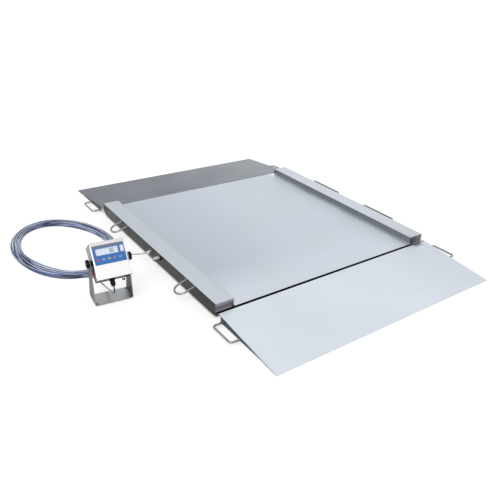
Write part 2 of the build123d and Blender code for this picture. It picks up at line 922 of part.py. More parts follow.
def cover_screw_holes():
    """Cutting tools for the screws through the cover's lips into the neck."""
    radius = cover_screw_diameter / 2 + thread_gap
    depth = cover_screw_hole
    return [rod(radius, (x, y, z - depth), (x, y, z + depth)) for x, y, z, _ in cover_screw_places()]


def front_cover():
    """Front half: a tray whose face is folded forward and flares below the keypad."""
    back = face_point(cover_depth, 0)[0]
    face = face_point(0, 0)[0]
    low, fold, high = (face_point(0, rise)[1] for rise in (0, fold_height, face_height))
    half = face_width / 2
    side = side_outline([(back, low), (face - fold_forward, low), (face, fold), (face, high), (back, high)])
    blank = across(side, half + fold_flare)
    front = Plane.XZ * make_face(Polyline(
        (-half - fold_flare, low), (half + fold_flare, low), (half, fold), (half, high), (-half, high),
        (-half, fold), close=True,
    ))
    blank &= extrude(front, amount=2 * face_height, both=True)
    rim = blank.faces().sort_by(Axis.Y)[-1]
    rounded = [edge for edge in blank.edges() if edge not in rim.edges()]
    blank = fillet(rounded, cover_bend)
    rim = blank.faces().sort_by(Axis.Y)[-1]
    cover = offset(blank, amount=-cover_sheet, openings=rim)
    for x0, x1, z0, z1 in window_places():
        cover -= block(
            x0 + window_rim, x1 - window_rim, face - cut_past, face + cover_sheet + cut_past,
            z0 + window_rim, z1 - window_rim,
        )
    post_x = board_width / 2 - board_post_inset
    post_z = board_height / 2 - board_post_inset
    z = face_point(0, board_rise)[1]
    for sx, sz in ((-1, -1), (-1, 1), (1, -1), (1, 1)):
        foot = (sx * post_x, face + cover_sheet / 2, z + sz * post_z)
        cover += rod(board_post / 2, foot, (sx * post_x, face + cover_depth, z + sz * post_z))
    return cover - cover_screw_holes()


def gasket():
    """Frame-shaped seal between the front cover's rim and the rear shell's shoulder."""
    half = face_width / 2
    y0, z0 = face_point(cover_depth, 0)
    y1, z1 = face_point(cover_depth + gasket_sheet, face_height)
    inset = cover_sheet + neck_gap
    ring = fillet(block(-half, half, y0, y1, z0, z1).edges().filter_by(Axis.Y), cover_sheet)
    return ring - block(-half + inset, half - inset, y0 - cut_past, y1 + cut_past, z0 + inset, z1 - inset)


def cover_screws():
    """Round head screws that pass the cover's lip and thread into the neck."""
    screws = []
    for x, y, z, out in cover_screw_places():
        seat = (x, y, z)
        head = rod(cover_screw_head / 2, seat, (x, y, z + out * cover_screw_head_height))
        shank = rod(cover_screw_diameter / 2, seat, (x, y, z - out * cover_screw_length))
        screws.append(head + shank)
    return group(screws)


def face_plate(x0, x1, z0, z1, corner, back, front):
    """A plate on the face with rounded corners, from y = back to y = front, counted from the face."""
    face = face_point(0, 0)[0]
    outline = Plane.XZ * Pos((x0 + x1) / 2, (z0 + z1) / 2) * RectangleRounded(x1 - x0, z1 - z0, corner)
    plate = extrude(outline, amount=front - back)
    return Pos(0, face - back, 0) * plate


def window_places():
    z0, z1 = face_point(0, lcd_bottom)[1], face_point(0, lcd_top)[1]
    return [(lcd_left, lcd_right, z0, z1), (bar_left, bar_right, z0, z1)]


def keypad():
    """Membrane sheet with two window openings and five key openings."""
    z0, z1 = face_point(0, keypad_bottom)[1], face_point(0, keypad_top)[1]
    sheet = face_plate(keypad_left, keypad_right, z0, z1, keypad_corner, 0, keypad_sheet)
    face = face_point(0, 0)[0]
    for x0, x1, low, high in window_places():
        sheet -= face_plate(x0, x1, low, high, window_corner, -cut_past, keypad_sheet + cut_past)
    z = face_point(0, key_height)[1]
    for x in key_spots:
        sheet -= drill(key_diameter / 2 + key_gap, (x, face, z), (x, face - keypad_sheet, z))
    return sheet


def display_windows():
    """Clear panes in the two window openings."""
    gap = window_gap
    return group(
        face_plate(x0 + gap, x1 - gap, low + gap, high - gap, window_corner, 0, window_sheet)
        for x0, x1, low, high in window_places()
    )


def display_modules():
    """Display modules behind the two windows, with their glass up against the cover."""
    face = face_point(0, 0)[0]
    front = face + cover_sheet + running_gap
    back = front + module_depth
    solids = []
    for margin, (x0, x1, low, high) in zip(module_margins, window_places()):
        solids.append(block(x0 - margin, x1 + margin, front, back, low - margin, high + margin))
    return group(solids)


def main_board():
    """Circuit board on the cover's four posts, with a few raised parts."""
    face = face_point(0, 0)[0]
    z = face_point(0, board_rise)[1]
    y = face + cover_depth
    half_w, half_h = board_width / 2, board_height / 2
    top = y + board_sheet
    board = block(-half_w, half_w, y, top, z - half_h, z + half_h)
    for x, width, rise, height, thick in board_parts:
        low = z + rise - height / 2
        board += block(x - width / 2, x + width / 2, top, top + thick, low, low + height)
    return board


def key_cap(x):
    """A domed key that floats just clear of the cover."""
    face = face_point(0, 0)[0]
    z = face_point(0, key_height)[1]
    cap = rod(key_diameter / 2, (x, face - key_float, z), (x, face - keypad_sheet - key_proud, z))
    return fillet(cap.edges().filter_by(GeomType.CIRCLE).sort_by(Axis.Y)[0], key_edge)


def indicator_gland():
    y, z = face_point(indicator_gland_y, 0)
    gland = dome_gland(
        shell_sheet, indicator_gland_thread, indicator_gland_flats, indicator_gland_flange,
        indicator_gland_root, indicator_gland_dome, indicator_gland_tip,
    )
    return Pos(indicator_gland_x, y, z) * Rot(180, 0, 0) * gland


def connector():
    """Round metal connector with a screw cap, closed."""
    y, z = face_point(indicator_gland_y, 0)
    radius = connector_diameter / 2
    body = rod(radius, (connector_x, y, z - connector_length), (connector_x, y, z))
    cap_end = z - connector_length - connector_cap
    cap = rod(radius + connector_rim, (connector_x, y, cap_end), (connector_x, y, z - connector_length))
    return body + chamfer(cap.edges().filter_by(GeomType.CIRCLE).sort_by(Axis.Z)[0], connector_edge)


def spacer_bushes():
    """Black bushes between the housing and the bracket legs."""
    bushes = []
    for side in (-1, 1):
        near = (side * face_width / 2, 0, 0)
        far = (side * (leg_inner - running_gap), 0, 0)
        bushes.append(rod(bush_diameter / 2, near, far) - drill(stud_diameter / 2 + stud_gap, near, far))
    return group(bushes)


def pivot_studs():
    """Headed studs fixed in the housing's bosses, on which it tilts and the knobs turn."""
    studs = []
    tip = knob_start + knob_bore - knob_bore_gap
    for side in (-1, 1):
        seat = (side * boss_inner, 0, 0)
        head = rod(stud_head_diameter / 2, (side * (boss_inner - stud_head_height), 0, 0), seat)
        studs.append(head + rod(stud_diameter / 2, seat, (side * tip, 0, 0)))
    return group(studs)


def knob(side):
    """Fluted clamping knob with its boss and a blind bore for the stud."""
    head_start = knob_start + knob_boss_length
    head_end = head_start + knob_length
    head = rod(knob_diameter / 2, (head_start, 0, 0), (head_end, 0, 0))
    reach = knob_diameter / 2 + knob_dimple - knob_dimple_inset
    for i in range(knob_lobes):
        angle = math.radians((i + 0.5) * 360 / knob_lobes)
        y, z = reach * math.cos(angle), reach * math.sin(angle)
        head -= drill(knob_dimple, (head_start, y, z), (head_end, y, z))
    outer = head.faces().sort_by(Axis.X)[-1]
    head = chamfer(outer.edges(), knob_edge)
    body = head + rod(knob_boss_diameter / 2, (knob_start, 0, 0), (head_start, 0, 0))
    body -= rod(stud_diameter / 2 + stud_gap, (knob_start - cut_past, 0, 0), (knob_start + knob_bore, 0, 0))
    return body if side > 0 else Rot(0, 0, 180) * body


# Bracket, in a frame turned with the indicator: z = 0 on the floor below the pivot

def bracket():
    """U-shaped sheet bracket: a wide base and two legs that taper to the pivot."""
    low = bracket_foot_height
    high = pivot_height + bracket_top_radius
    outer = Rectangle(bracket_width, high - low)
    inner = Pos(0, bracket_sheet) * Rectangle(bracket_width - 2 * bracket_sheet, high - low)
    outer = fillet(outer.vertices().sort_by(Axis.Y)[:2], bracket_bend)
    inner = fillet(inner.vertices().sort_by(Axis.Y)[:2], bracket_bend - bracket_sheet)
    section = Plane.XZ * Pos(0, (high + low) / 2) * (outer - inner)
    blank = extrude(section, amount=bracket_depth / 2, both=True)
    half = bracket_depth / 2
    rise = pivot_height - low - bracket_base_band
    lean = math.atan2(half - bracket_top_radius, rise)
    shoulder_y = bracket_top_radius * math.cos(lean)
    shoulder_z = pivot_height + bracket_top_radius * math.sin(lean)
    taper = Plane.YZ * make_face(
        Polyline(
            (-shoulder_y, shoulder_z), (-half, low + bracket_base_band), (-half, low), (half, low),
            (half, low + bracket_base_band), (shoulder_y, shoulder_z),
        )
        + ThreePointArc((shoulder_y, shoulder_z), (0, high), (-shoulder_y, shoulder_z))
    )
    shape = blank & extrude(taper, amount=bracket_width, both=True)
    half = bracket_width / 2
    shape -= drill(stud_diameter / 2 + leg_hole_gap, (-half, 0, pivot_height), (half, 0, pivot_height))
    for x, y in bracket_foot_places():
        shape -= drill(foot_stem_diameter / 2 + foot_stem_gap, (x, y, low), (x, y, low + bracket_sheet))
    return shape


def bracket_foot_places():
    x = bracket_width / 2 - bracket_foot_inset
    y = bracket_depth / 2 - bracket_foot_inset
    return [(sx * x, sy * y) for sx in (-1, 1) for sy in (-1, 1)]


def bracket_feet():
    """Push-in rubber feet: a disc below the base, a stem and a head on top of it."""
    radius = bracket_foot_diameter / 2
    stem = foot_stem_diameter / 2
    head = foot_head_diameter / 2
    top = bracket_foot_height + bracket_sheet
    edge = bracket_foot_edge
    outline = Plane.XZ * make_face(Polyline(
        (0, 0), (radius - edge, 0), (radius, edge), (radius, bracket_foot_height),
        (stem, bracket_foot_height), (stem, top), (head, top), (head - edge, top + foot_head_height),
        (0, top + foot_head_height), close=True,
    ))
    foot = revolve(outline, Axis.Z)
    return group(Pos(x, y, 0) * foot for x, y in bracket_foot_places())


# Cable. The points of its two free stretches are chosen by hand.

def gland_tip(place, length):
    """The centre of a gland's end face and the direction in which its cable leaves."""
    tip = place * Pos(0, 0, length)
    start = tip.position
    ahead = (tip * Pos(0, 0, 1)).position
    return start, ahead - start


def route_points(start, axis, lead_out, rows):
    """The cable's points: its exit, a point straight out of it, and the rows chosen by hand."""
    points = [start, start + axis * lead_out]
    return points + [Vector(start.X + x, start.Y + y, start.Z * share) for x, y, share in rows]


indicator_floor = Pos(indicator_x, indicator_y, 0) * Rot(0, 0, indicator_yaw)
indicator_frame = indicator_floor * Pos(0, 0, pivot_height) * Rot(-indicator_tilt, 0, 0)


def indicator_gland_frame():
    y, z = face_point(indicator_gland_y, 0)
    return indicator_frame * Pos(indicator_gland_x, y, z) * Rot(180, 0, 0)


# Shared helpers for the cable's route

def corner_radii(points):
    """For each corner, 0.45 of its shorter run over the tangent of half the turn."""
    radii = []
    for before, corner, after in zip(points, points[1:], points[2:]):
        run_in = corner - before
        run_out = after - corner
        turn = math.radians(run_in.get_angle(run_out))
        radii.append(0.45 * min(run_in.length, run_out.length) / math.tan(turn / 2))
    return radii


def cable_tube(points, name):
    radii = corner_radii(points)
    print(name, "radii", [round(r, 1) for r in radii])
    path = FilletPolyline(*points, radius=radii)
    tube = sweep(Plane(origin=path @ 0, z_dir=path % 0) * Circle(cable_diameter / 2), path=path)
    print(name, "length", round(path.length, 1), "volume ratio",
          round(tube.volume / (math.pi * cable_diameter ** 2 / 4 * path.length), 4))
    return tube


def indicator_cable():
    """From the indicator's gland, round a tight bend below it, and back over the floor to the coil."""
    exit_place = gland_tip(indicator_gland_frame(), indicator_gland_flange + indicator_gland_dome)
    return cable_tube(route_points(*exit_place, indicator_lead_out, indicator_route), "indicator_cable")


def beam_cable():
    """From the beam's gland down to the floor and into the coil's right side."""
    exit_place = gland_tip(outward_left(beam_gland_y, beam_gland_z), gland_flange + gland_dome)
    return cable_tube(route_points(*exit_place, beam_lead_out, beam_route), "beam_cable")


def cable_coil():
    """The outer form of the loose coil that lies on the floor."""
    outer = Rot(0, 0, coil_turn[0]) * Ellipse(*coil_outer)
    inner = Rot(0, 0, coil_turn[1]) * Ellipse(*coil_inner)
    ring = extrude(outer - inner, amount=coil_height)
    top = ring.faces().sort_by(Axis.Z)[-1]
    return Pos(coil_x, coil_y, 0) * chamfer(top.edges(), coil_edge)


# All nodes of the model

corners = {"front_left": (-1, -1), "front_right": (1, -1), "rear_left": (-1, 1), "rear_right": (1, 1)}
key_names = ("key_power", "key_zero", "key_tare", "key_print", "key_enter")

nodes = {
    "weighing_pan": weighing_pan(),
    "pan_ribs": cross_ribs(),
    "left_beam_cover": beam_cover(-1),
    "right_beam_cover": beam_cover(1),
    "beam_trays": group(beam_tray(side) for side in (-1, 1)),
    "platform_screws": group([*tray_screws(), *lid_screws()]),
    "junction_box": junction_box(),
    "junction_lid": junction_lid(),
    "junction_board": junction_board(),
    "cell_leads": cell_leads(),
    "platform_glands": group([beam_gland(), *(box_gland(*place) for place in box_gland_places())]),
    "vent_plug": vent_plug(),
    "left_beam_handles": left_handles(),
    "right_beam_handles": right_handles(),
    "cell_spacers": group(at_corner(cell_spacer(), *c) for c in corners.values()),
    "cell_bolts": group(at_corner(bolt, *c) for c in corners.values() for bolt in cell_bolts()),
}

for corner_name, (side, end) in corners.items():
    foot_place = Pos(side * beam_centre, end * foot_y, 0)
    nodes["load_cell_" + corner_name] = at_corner(load_cell(), side, end)
    nodes["foot_pad_" + corner_name] = foot_place * foot_pad()
    nodes["foot_stud_" + corner_name] = group([foot_place * foot_stud(), foot_place * foot_nut()])

front_ramp = {"plate": ramp_plate(), "frame": ramp_frame(), "pads": ramp_pads(), "handles": ramp_handles()}
for piece_name, piece in front_ramp.items():
    nodes["front_ramp_" + piece_name] = piece
    nodes["rear_ramp_" + piece_name] = Rot(0, 0, 180) * piece

housing_pieces = {
    "rear_shell": rear_shell(),
    "front_cover": front_cover(),
    "cover_gasket": gasket(),
    "cover_screws": cover_screws(),
    "keypad_membrane": keypad(),
    "display_windows": display_windows(),
    "display_modules": display_modules(),
    "main_board": main_board(),
    "indicator_gland": indicator_gland(),
    "indicator_connector": connector(),
    "spacer_bushes": spacer_bushes(),
    "pivot_studs": pivot_studs(),
    "left_knob": knob(-1),
    "right_knob": knob(1),
}
for key_name, spot in zip(key_names, key_spots):
    housing_pieces[key_name] = key_cap(spot)
for piece_name, piece in housing_pieces.items():
    nodes[piece_name] = indicator_frame * piece

nodes["bracket"] = indicator_floor * bracket()
nodes["bracket_feet"] = indicator_floor * bracket_feet()

# The origin lies on the floor below the middle of the box around everything but the cable
boxes = [shape.bounding_box() for shape in nodes.values()]
low_x, high_x = min(box.min.X for box in boxes), max(box.max.X for box in boxes)
low_y, high_y = min(box.min.Y for box in boxes), max(box.max.Y for box in boxes)
frame_shift = Pos(-(low_x + high_x) / 2, -(low_y + high_y) / 2, 0)

nodes["cable_to_indicator"] = indicator_cable()
nodes["cable_coil"] = cable_coil()
nodes["cable_to_beam"] = beam_cable()

os.makedirs("parts", exist_ok=True)
for node_name, shape in nodes.items():
    export_step(frame_shift * shape, "parts/" + node_name + ".step")
print(len(nodes), "nodes, shift", frame_shift.position)
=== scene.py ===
"""Looks of the ramp scale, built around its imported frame. All lengths are in metres."""

import math

import bmesh
import bpy
from mathutils import Euler, Matrix, Vector


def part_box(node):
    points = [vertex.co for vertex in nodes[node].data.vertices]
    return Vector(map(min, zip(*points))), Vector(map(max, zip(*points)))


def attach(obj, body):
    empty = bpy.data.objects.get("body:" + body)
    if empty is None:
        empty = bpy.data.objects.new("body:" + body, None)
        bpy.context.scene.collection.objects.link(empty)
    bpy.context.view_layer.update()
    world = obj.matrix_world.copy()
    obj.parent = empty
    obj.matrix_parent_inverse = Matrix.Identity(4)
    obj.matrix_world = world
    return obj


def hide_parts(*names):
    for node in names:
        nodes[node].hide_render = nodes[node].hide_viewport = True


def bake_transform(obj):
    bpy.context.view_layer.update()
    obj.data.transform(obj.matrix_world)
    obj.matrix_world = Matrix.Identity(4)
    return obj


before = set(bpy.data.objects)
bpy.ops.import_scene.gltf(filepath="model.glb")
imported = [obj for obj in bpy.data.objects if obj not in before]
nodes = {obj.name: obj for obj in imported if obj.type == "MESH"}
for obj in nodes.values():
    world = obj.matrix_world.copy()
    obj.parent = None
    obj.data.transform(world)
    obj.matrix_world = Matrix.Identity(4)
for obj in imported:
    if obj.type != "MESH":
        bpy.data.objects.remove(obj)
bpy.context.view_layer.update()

# How far the platform's middle lies from the frame's origin
PLATFORM_X = 0.213432


def across(x):
    """The frame's X of a place that is measured from the platform's middle."""
    return x + PLATFORM_X


# Camera at the photograph's place, on a 500 by 500 picture

IMAGE_WIDTH = 500
FOCAL_PIXELS = 550.91
SENSOR_WIDTH = 36
FARTHEST_SEEN = 200
CAMERA_PLACE = Vector((across(-2.1004), -2.7046, 1.6779))
CAMERA_AZIMUTH = math.radians(37.003)
CAMERA_DIP = math.radians(28.220)
CAMERA_ROLL = math.radians(-3.314)


def make_camera():
    forward = Vector((
        math.sin(CAMERA_AZIMUTH) * math.cos(CAMERA_DIP),
        math.cos(CAMERA_AZIMUTH) * math.cos(CAMERA_DIP),
        -math.sin(CAMERA_DIP),
    ))
    level = Vector((math.cos(CAMERA_AZIMUTH), -math.sin(CAMERA_AZIMUTH), 0))
    below = forward.cross(level)
    right = math.cos(CAMERA_ROLL) * level + math.sin(CAMERA_ROLL) * below
    down = -math.sin(CAMERA_ROLL) * level + math.cos(CAMERA_ROLL) * below
    data = bpy.data.cameras.new("camera")
    data.sensor_width = SENSOR_WIDTH
    data.lens = FOCAL_PIXELS / IMAGE_WIDTH * SENSOR_WIDTH
    data.clip_end = FARTHEST_SEEN
    camera = bpy.data.objects.new("camera", data)
    turn = Matrix((right, -down, -forward)).transposed()
    camera.matrix_world = Matrix.Translation(CAMERA_PLACE) @ turn.to_4x4()
    bpy.context.scene.collection.objects.link(camera)
    bpy.context.scene.camera = camera


make_camera()

# Places that the frame and the looks share

# The pivot of the indicator's tilt, its depth behind the face and its rise above the face's lower edge
PIVOT = Vector((across(-1.185), -0.269, 0.231))
PIVOT_DEPTH = 0.046
PIVOT_RISE = 0.104
TILT = Euler((math.radians(-40), 0, math.radians(-6)))
INDICATOR = Matrix.LocRotScale(PIVOT, TILT, None)
MILLIMETRE = 0.001


def in_housing(x, depth, rise):
    """A place on the indicator: across, behind the face, and up from the face's lower edge."""
    return INDICATOR @ Vector((x, depth - PIVOT_DEPTH, rise - PIVOT_RISE))


# Where the cable leaves its two glands, and its diameter
BEAM_GLAND_TIP = Vector((across(-0.847), -0.005, 0.056))
INDICATOR_GLAND_TIP = in_housing(-0.012, 0.032, -0.038)
CABLE = 0.008


def add_object(name, data):
    piece = bpy.data.objects.new(name, data)
    bpy.context.scene.collection.objects.link(piece)
    return piece


# Surfaces, each a tree of nodes round one principled shader

def linear(colour):
    """Shader colour of a display colour given as three numbers up to 255."""
    parts = [c / 255 for c in colour]
    return [c / 12.92 if c <= 0.04045 else ((c + 0.055) / 1.055) ** 2.4 for c in parts] + [1]


# Sockets that a mix node uses for colours
MIX_SHARE, MIX_FIRST, MIX_SECOND, MIX_RESULT = 0, 6, 7, 2


class Surface:
    """A material in the making. Its methods add nodes and return their output sockets."""

    def __init__(self, name, roughness=0.4, metallic=0.0, **sockets):
        self.material = bpy.data.materials.new(name)
        self.material.use_nodes = True
        self.tree = self.material.node_tree
        self.shader = self.tree.nodes["Principled BSDF"]
        self.shader.inputs["Roughness"].default_value = roughness
        self.shader.inputs["Metallic"].default_value = metallic
        for socket, value in sockets.items():
            self.shader.inputs[socket.replace("_", " ")].default_value = value

    def node(self, kind, inputs=None, **settings):
        made = self.tree.nodes.new(kind)
        for setting, value in settings.items():
            setattr(made, setting, value)
        for socket, value in (inputs or {}).items():
            self.feed(made.inputs[socket], value)
        return made

    def feed(self, socket, value):
        if isinstance(value, bpy.types.NodeSocket):
            self.tree.links.new(value, socket)
        else:
            socket.default_value = value

    def place(self, kind="Object"):
        return self.node("ShaderNodeTexCoord").outputs[kind]

    def in_indicator(self, kind="Object"):
        """Object place or normal, turned into the indicator's own frame."""
        loc = PIVOT if kind == "Object" else (0, 0, 0)
        inputs = {"Vector": self.place(kind), "Location": loc, "Rotation": TILT}
        return self.node("ShaderNodeMapping", inputs, vector_type="TEXTURE").outputs[0]

    def noise(self, scale, stretch=(1, 1, 1), detail=3, rough=0.5, source=None):
        inputs = {"Vector": source or self.place(), "Scale": stretch}
        vector = self.node("ShaderNodeMapping", inputs).outputs[0]
        inputs = {"Vector": vector, "Scale": scale, "Detail": detail, "Roughness": rough}
        return self.node("ShaderNodeTexNoise", inputs).outputs["Fac"]

    def remap(self, value, low, high, to_low=0.0, to_high=1.0):
        inputs = {"Value": value, "From Min": low, "From Max": high, "To Min": to_low, "To Max": to_high}
        return self.node("ShaderNodeMapRange", inputs).outputs["Result"]

    def maths(self, operation, first, second=0.0):
        return self.node("ShaderNodeMath", {0: first, 1: second}, operation=operation).outputs[0]

    def mix(self, share, first, second, blend="MIX"):
        made = self.node("ShaderNodeMix", data_type="RGBA", blend_type=blend)
        self.feed(made.inputs[MIX_SHARE], share)
        self.feed(made.inputs[MIX_FIRST], first)
        self.feed(made.inputs[MIX_SECOND], second)
        return made.outputs[MIX_RESULT]

    def speckle(self, scale, first, second, **settings):
        """Two display colours mixed by a noise."""
        return self.mix(self.noise(scale, **settings), linear(first), linear(second))

    def scaled(self, tone, shade):
        """A tone made darker or lighter by a number."""
        return self.mix(1, tone, self.grey(shade), "MULTIPLY")

    def part(self, vector, axis):
        return self.node("ShaderNodeSeparateXYZ", {"Vector": vector}).outputs[axis]

    def facing(self, normals, direction, low=0.55, high=0.8):
        """1 on faces that look along the direction, 0 on the rest."""
        inputs = {0: normals, 1: Vector(direction).normalized()}
        dot = self.node("ShaderNodeVectorMath", inputs, operation="DOT_PRODUCT").outputs["Value"]
        return self.remap(dot, low, high)

    def within(self, place, axis, low, high, soft):
        """1 between two places along an axis, easing to 0 at both."""
        rise = self.remap(self.part(place, axis), low, low + soft)
        fall = self.remap(self.part(place, axis), high, high - soft)
        return self.maths("MULTIPLY", rise, fall)

    def colour(self, value):
        self.feed(self.shader.inputs["Base Color"], value)

    def roughness(self, value):
        self.feed(self.shader.inputs["Roughness"], value)

    def bump(self, height, strength=0.2, distance=0.001):
        inputs = {"Height": height, "Strength": strength, "Distance": distance}
        self.feed(self.shader.inputs["Normal"], self.node("ShaderNodeBump", inputs).outputs[0])

    def grey(self, value):
        """A colour from one number."""
        return self.node("ShaderNodeCombineColor", {0: value, 1: value, 2: value}).outputs[0]


# How often the noise of brushed steel repeats in a metre, along and across the grain
FINE_GRAIN = (9, 1500)
BROAD_GRAIN = (0.7, 95)


def steel(name, colour, grain="Y", rough=0.34, face_shading=(), indicator=False, streaks=0.05, shading_gradient=None, shading_strips=()):
    """Brushed stainless steel with painted light and shade. A gradient turns the tone to another colour
    between two places along an axis, as light that falls unevenly. Faces that look another way get a painted
    shade or light of their own, and boxes of places on such faces get one too."""
    surface = Surface(name, metallic=1.0)
    source = surface.in_indicator() if indicator else surface.place()
    normals = surface.in_indicator("Normal") if indicator else surface.place("Normal")

    def brushed(repeats):
        along, beside = repeats
        return [along if axis == grain else beside for axis in "XYZ"]

    tone = linear(colour)
    # Painted light: a gradient of tone along an axis
    if shading_gradient:
        axis, low, high, beyond = shading_gradient
        tone = surface.mix(surface.remap(surface.part(source, axis), low, high), tone, linear(beyond))
    # Painted shade or light on faces, by the way they look
    for direction, face_shade in face_shading:
        tone = surface.mix(surface.facing(normals, direction), tone, linear(face_shade))
    # Painted shade or light on a box of places on such faces
    for direction, strip, soft, ranges in shading_strips:
        inside = surface.facing(normals, direction, 0.2, 0.3)
        for axis, (low, high) in ranges.items():
            inside = surface.maths("MULTIPLY", inside, surface.within(source, axis, low, high, soft))
        tone = surface.mix(inside, tone, linear(strip))
    fine = surface.noise(1, brushed(FINE_GRAIN), detail=2, source=source)
    broad = surface.noise(1, brushed(BROAD_GRAIN), detail=4, rough=0.62, source=source)
    cloud = surface.noise(2.2, detail=5, source=source)
    tone = surface.scaled(tone, surface.remap(broad, 0.3, 0.7, 1 - streaks, 1 + streaks))
    surface.colour(surface.scaled(tone, surface.remap(cloud, 0.3, 0.7, 0.965, 1.03)))
    scratched = surface.remap(fine, 0, 1, -0.06, 0.06)
    worn = surface.remap(cloud, 0.35, 0.7, -0.05, 0.08)
    surface.roughness(surface.maths("ADD", surface.maths("ADD", scratched, worn), rough))
    surface.bump(fine, 0.12, 0.0002)
    return surface.material


def moulded(name, colour, rough=0.45, grain=900, depth=0.25, **sockets):
    """Moulded plastic or rubber with a fine spark texture and faint dust."""
    surface = Surface(name, roughness=rough, **sockets)
    spark = surface.noise(grain, detail=2)
    dust = surface.noise(35, detail=4)
    lighter = [min(1, c * 1.5 + 0.005) for c in linear(colour)[:3]] + [1]
    surface.colour(surface.mix(surface.remap(dust, 0.45, 0.75, 0, 0.6), linear(colour), lighter))
    surface.roughness(surface.remap(dust, 0.3, 0.7, rough - 0.08, rough + 0.12))
    surface.bump(spark, depth, 0.0002)
    return surface.material


def dress(material, *names):
    for name in names:
        for slot in nodes[name].material_slots:
            slot.material = material


# Steel of the platform and the ramps. Left and front are as seen from the front ramp.

LEFTWARD, RIGHTWARD = (-1, 0, 0), (1, 0, 0)
FRONTWARD, REARWARD = (0, -1, 0), (0, 1, 0)
UP, DOWN = (0, 0, 1), (0, 0, -1)
# Painted shade for faces and edges that look into a gap
GAP_SHADE = (24, 24, 28)
# How softly a hard line starts and ends
EDGE = 0.0003

# Painted shade on the pan's faces that look forward into the gap and to the left
PAN_FACE_SHADING = [(FRONTWARD, GAP_SHADE), (LEFTWARD, (110, 113, 118))]
# Painted light and shade: a paler front, a pale band along the right beam that lifts the beam's shade off the
# pan, and dark shade at the edge of the front lip
PAN_SHADING_STRIPS = [
    (UP, (209, 216, 225), 0.3, {"Y": (-1.1, -0.35)}),
    (UP, (236, 242, 249), 0.06, {"X": (across(0.62), across(0.8))}),
    (UP, GAP_SHADE, EDGE, {"Y": (-0.7502, -0.7435)}),
]
# Painted light: the pan darker to the left
pan_steel = steel("pan_steel", (186, 193, 203), "Y", 0.42, PAN_FACE_SHADING, streaks=0.02, shading_strips=PAN_SHADING_STRIPS,
                  shading_gradient=("X", across(-0.7), across(0.1), (203, 210, 219)))
dress(pan_steel, "weighing_pan", "pan_ribs")

# Painted shade: the dark foot of a beam's front end above the gap, and a dark line of shade along the left
# beam's inner edge
END_FOOT_SHADE = (FRONTWARD, GAP_SHADE, EDGE, {"Z": (0.0, 0.037)})
INNER_EDGE_SHADE = (UP, (142, 149, 156), EDGE, {"X": (across(-0.7052), across(-0.6995))})
# Painted shade and light on the beams' sides and ends, by the way each face looks
LEFT_FACE_SHADING = [
    (LEFTWARD, (45, 45, 42)),
    (RIGHTWARD, (165, 171, 178)),
    (FRONTWARD, (176, 168, 177)),
    (REARWARD, (120, 122, 126)),
]
RIGHT_FACE_SHADING = [
    (LEFTWARD, (122, 126, 129)),
    (RIGHTWARD, (92, 94, 95)),
    (FRONTWARD, (104, 108, 111)),
    (REARWARD, (110, 113, 116)),
]
# Painted light: each beam's top turns paler or darker along its length
left_steel = steel("left_beam_steel", (200, 206, 215), "Y", 0.33, LEFT_FACE_SHADING, streaks=0.02,
                   shading_strips=[END_FOOT_SHADE, INNER_EDGE_SHADE], shading_gradient=("Y", -0.6, 0.2, (190, 197, 205)))
dress(left_steel, "left_beam_cover")
right_steel = steel("right_beam_steel", (198, 201, 207), "Y", 0.33, RIGHT_FACE_SHADING, streaks=0.02,
                    shading_strips=[END_FOOT_SHADE], shading_gradient=("Y", -0.72, -0.35, (205, 211, 219)))
dress(right_steel, "right_beam_cover")

# Painted shade on the front ramp's sides, black on the edge that looks into the gap
FRONT_FACE_SHADING = [(LEFTWARD, (70, 72, 74)), (RIGHTWARD, (90, 92, 94)), (REARWARD, (26, 26, 28))]
# Painted shade below the right beam's end, and dark shade at the edge by the gap
FRONT_SHADING_STRIPS = [
    (UP, (112, 118, 122), 0.03, {"X": (across(0.68), across(0.785)), "Y": (-0.8, -0.7)}),
    (UP, GAP_SHADE, EDGE, {"Y": (-0.764, -0.757)}),
]
# Painted light: a little darker towards the right
front_steel = steel("front_ramp_steel", (217, 224, 232), "X", 0.38, FRONT_FACE_SHADING, streaks=0.007,
                    shading_strips=FRONT_SHADING_STRIPS, shading_gradient=("X", across(0.2), across(0.75), (208, 215, 224)))
dress(front_steel, "front_ramp_plate", "front_ramp_frame")
# Painted shade: the whole rear ramp dark and darkest to the left, as it slopes away from the light; dark on
# its left side, pale on its front edge
REAR_FACE_SHADING = [(LEFTWARD, (40, 41, 42)), (FRONTWARD, (226, 230, 236))]
rear_steel = steel("rear_ramp_steel", (106, 110, 121), "X", 0.34, REAR_FACE_SHADING, streaks=0.05,
                   shading_gradient=("X", across(-0.2), across(0.6), (135, 142, 149)))
dress(rear_steel, "rear_ramp_plate", "rear_ramp_frame")

# Handles, fasteners and what the platform holds

dress(steel("bar_steel", (150, 152, 155), "X", 0.2, streaks=0.02), "left_beam_handles", "right_beam_handles",
      "front_ramp_handles", "rear_ramp_handles")
dress(steel("tray_steel", (150, 154, 158), "Y"), "beam_trays", "cell_spacers")
dress(steel("fastener_steel", (165, 168, 172), "X", 0.28), "platform_screws", "cell_bolts", "pivot_studs",
      "foot_stud_front_left", "foot_stud_front_right", "foot_stud_rear_left", "foot_stud_rear_right")
dress(steel("cell_steel", (178, 180, 184), "Y", 0.3), "load_cell_front_left", "load_cell_front_right",
      "load_cell_rear_left", "load_cell_rear_right")
dress(moulded("box_plastic", (176, 180, 182), 0.5), "junction_box", "junction_lid")
dress(moulded("circuit_board", (28, 92, 58), 0.45, 400, 0.3), "junction_board", "main_board")
dress(moulded("lead_jacket", (40, 42, 46), 0.5), "cell_leads")
# Painted shade on the glands' faces that look down
dress(steel("plated_brass", (206, 206, 204), "Z", 0.25, [(DOWN, (34, 34, 36))]), "platform_glands")


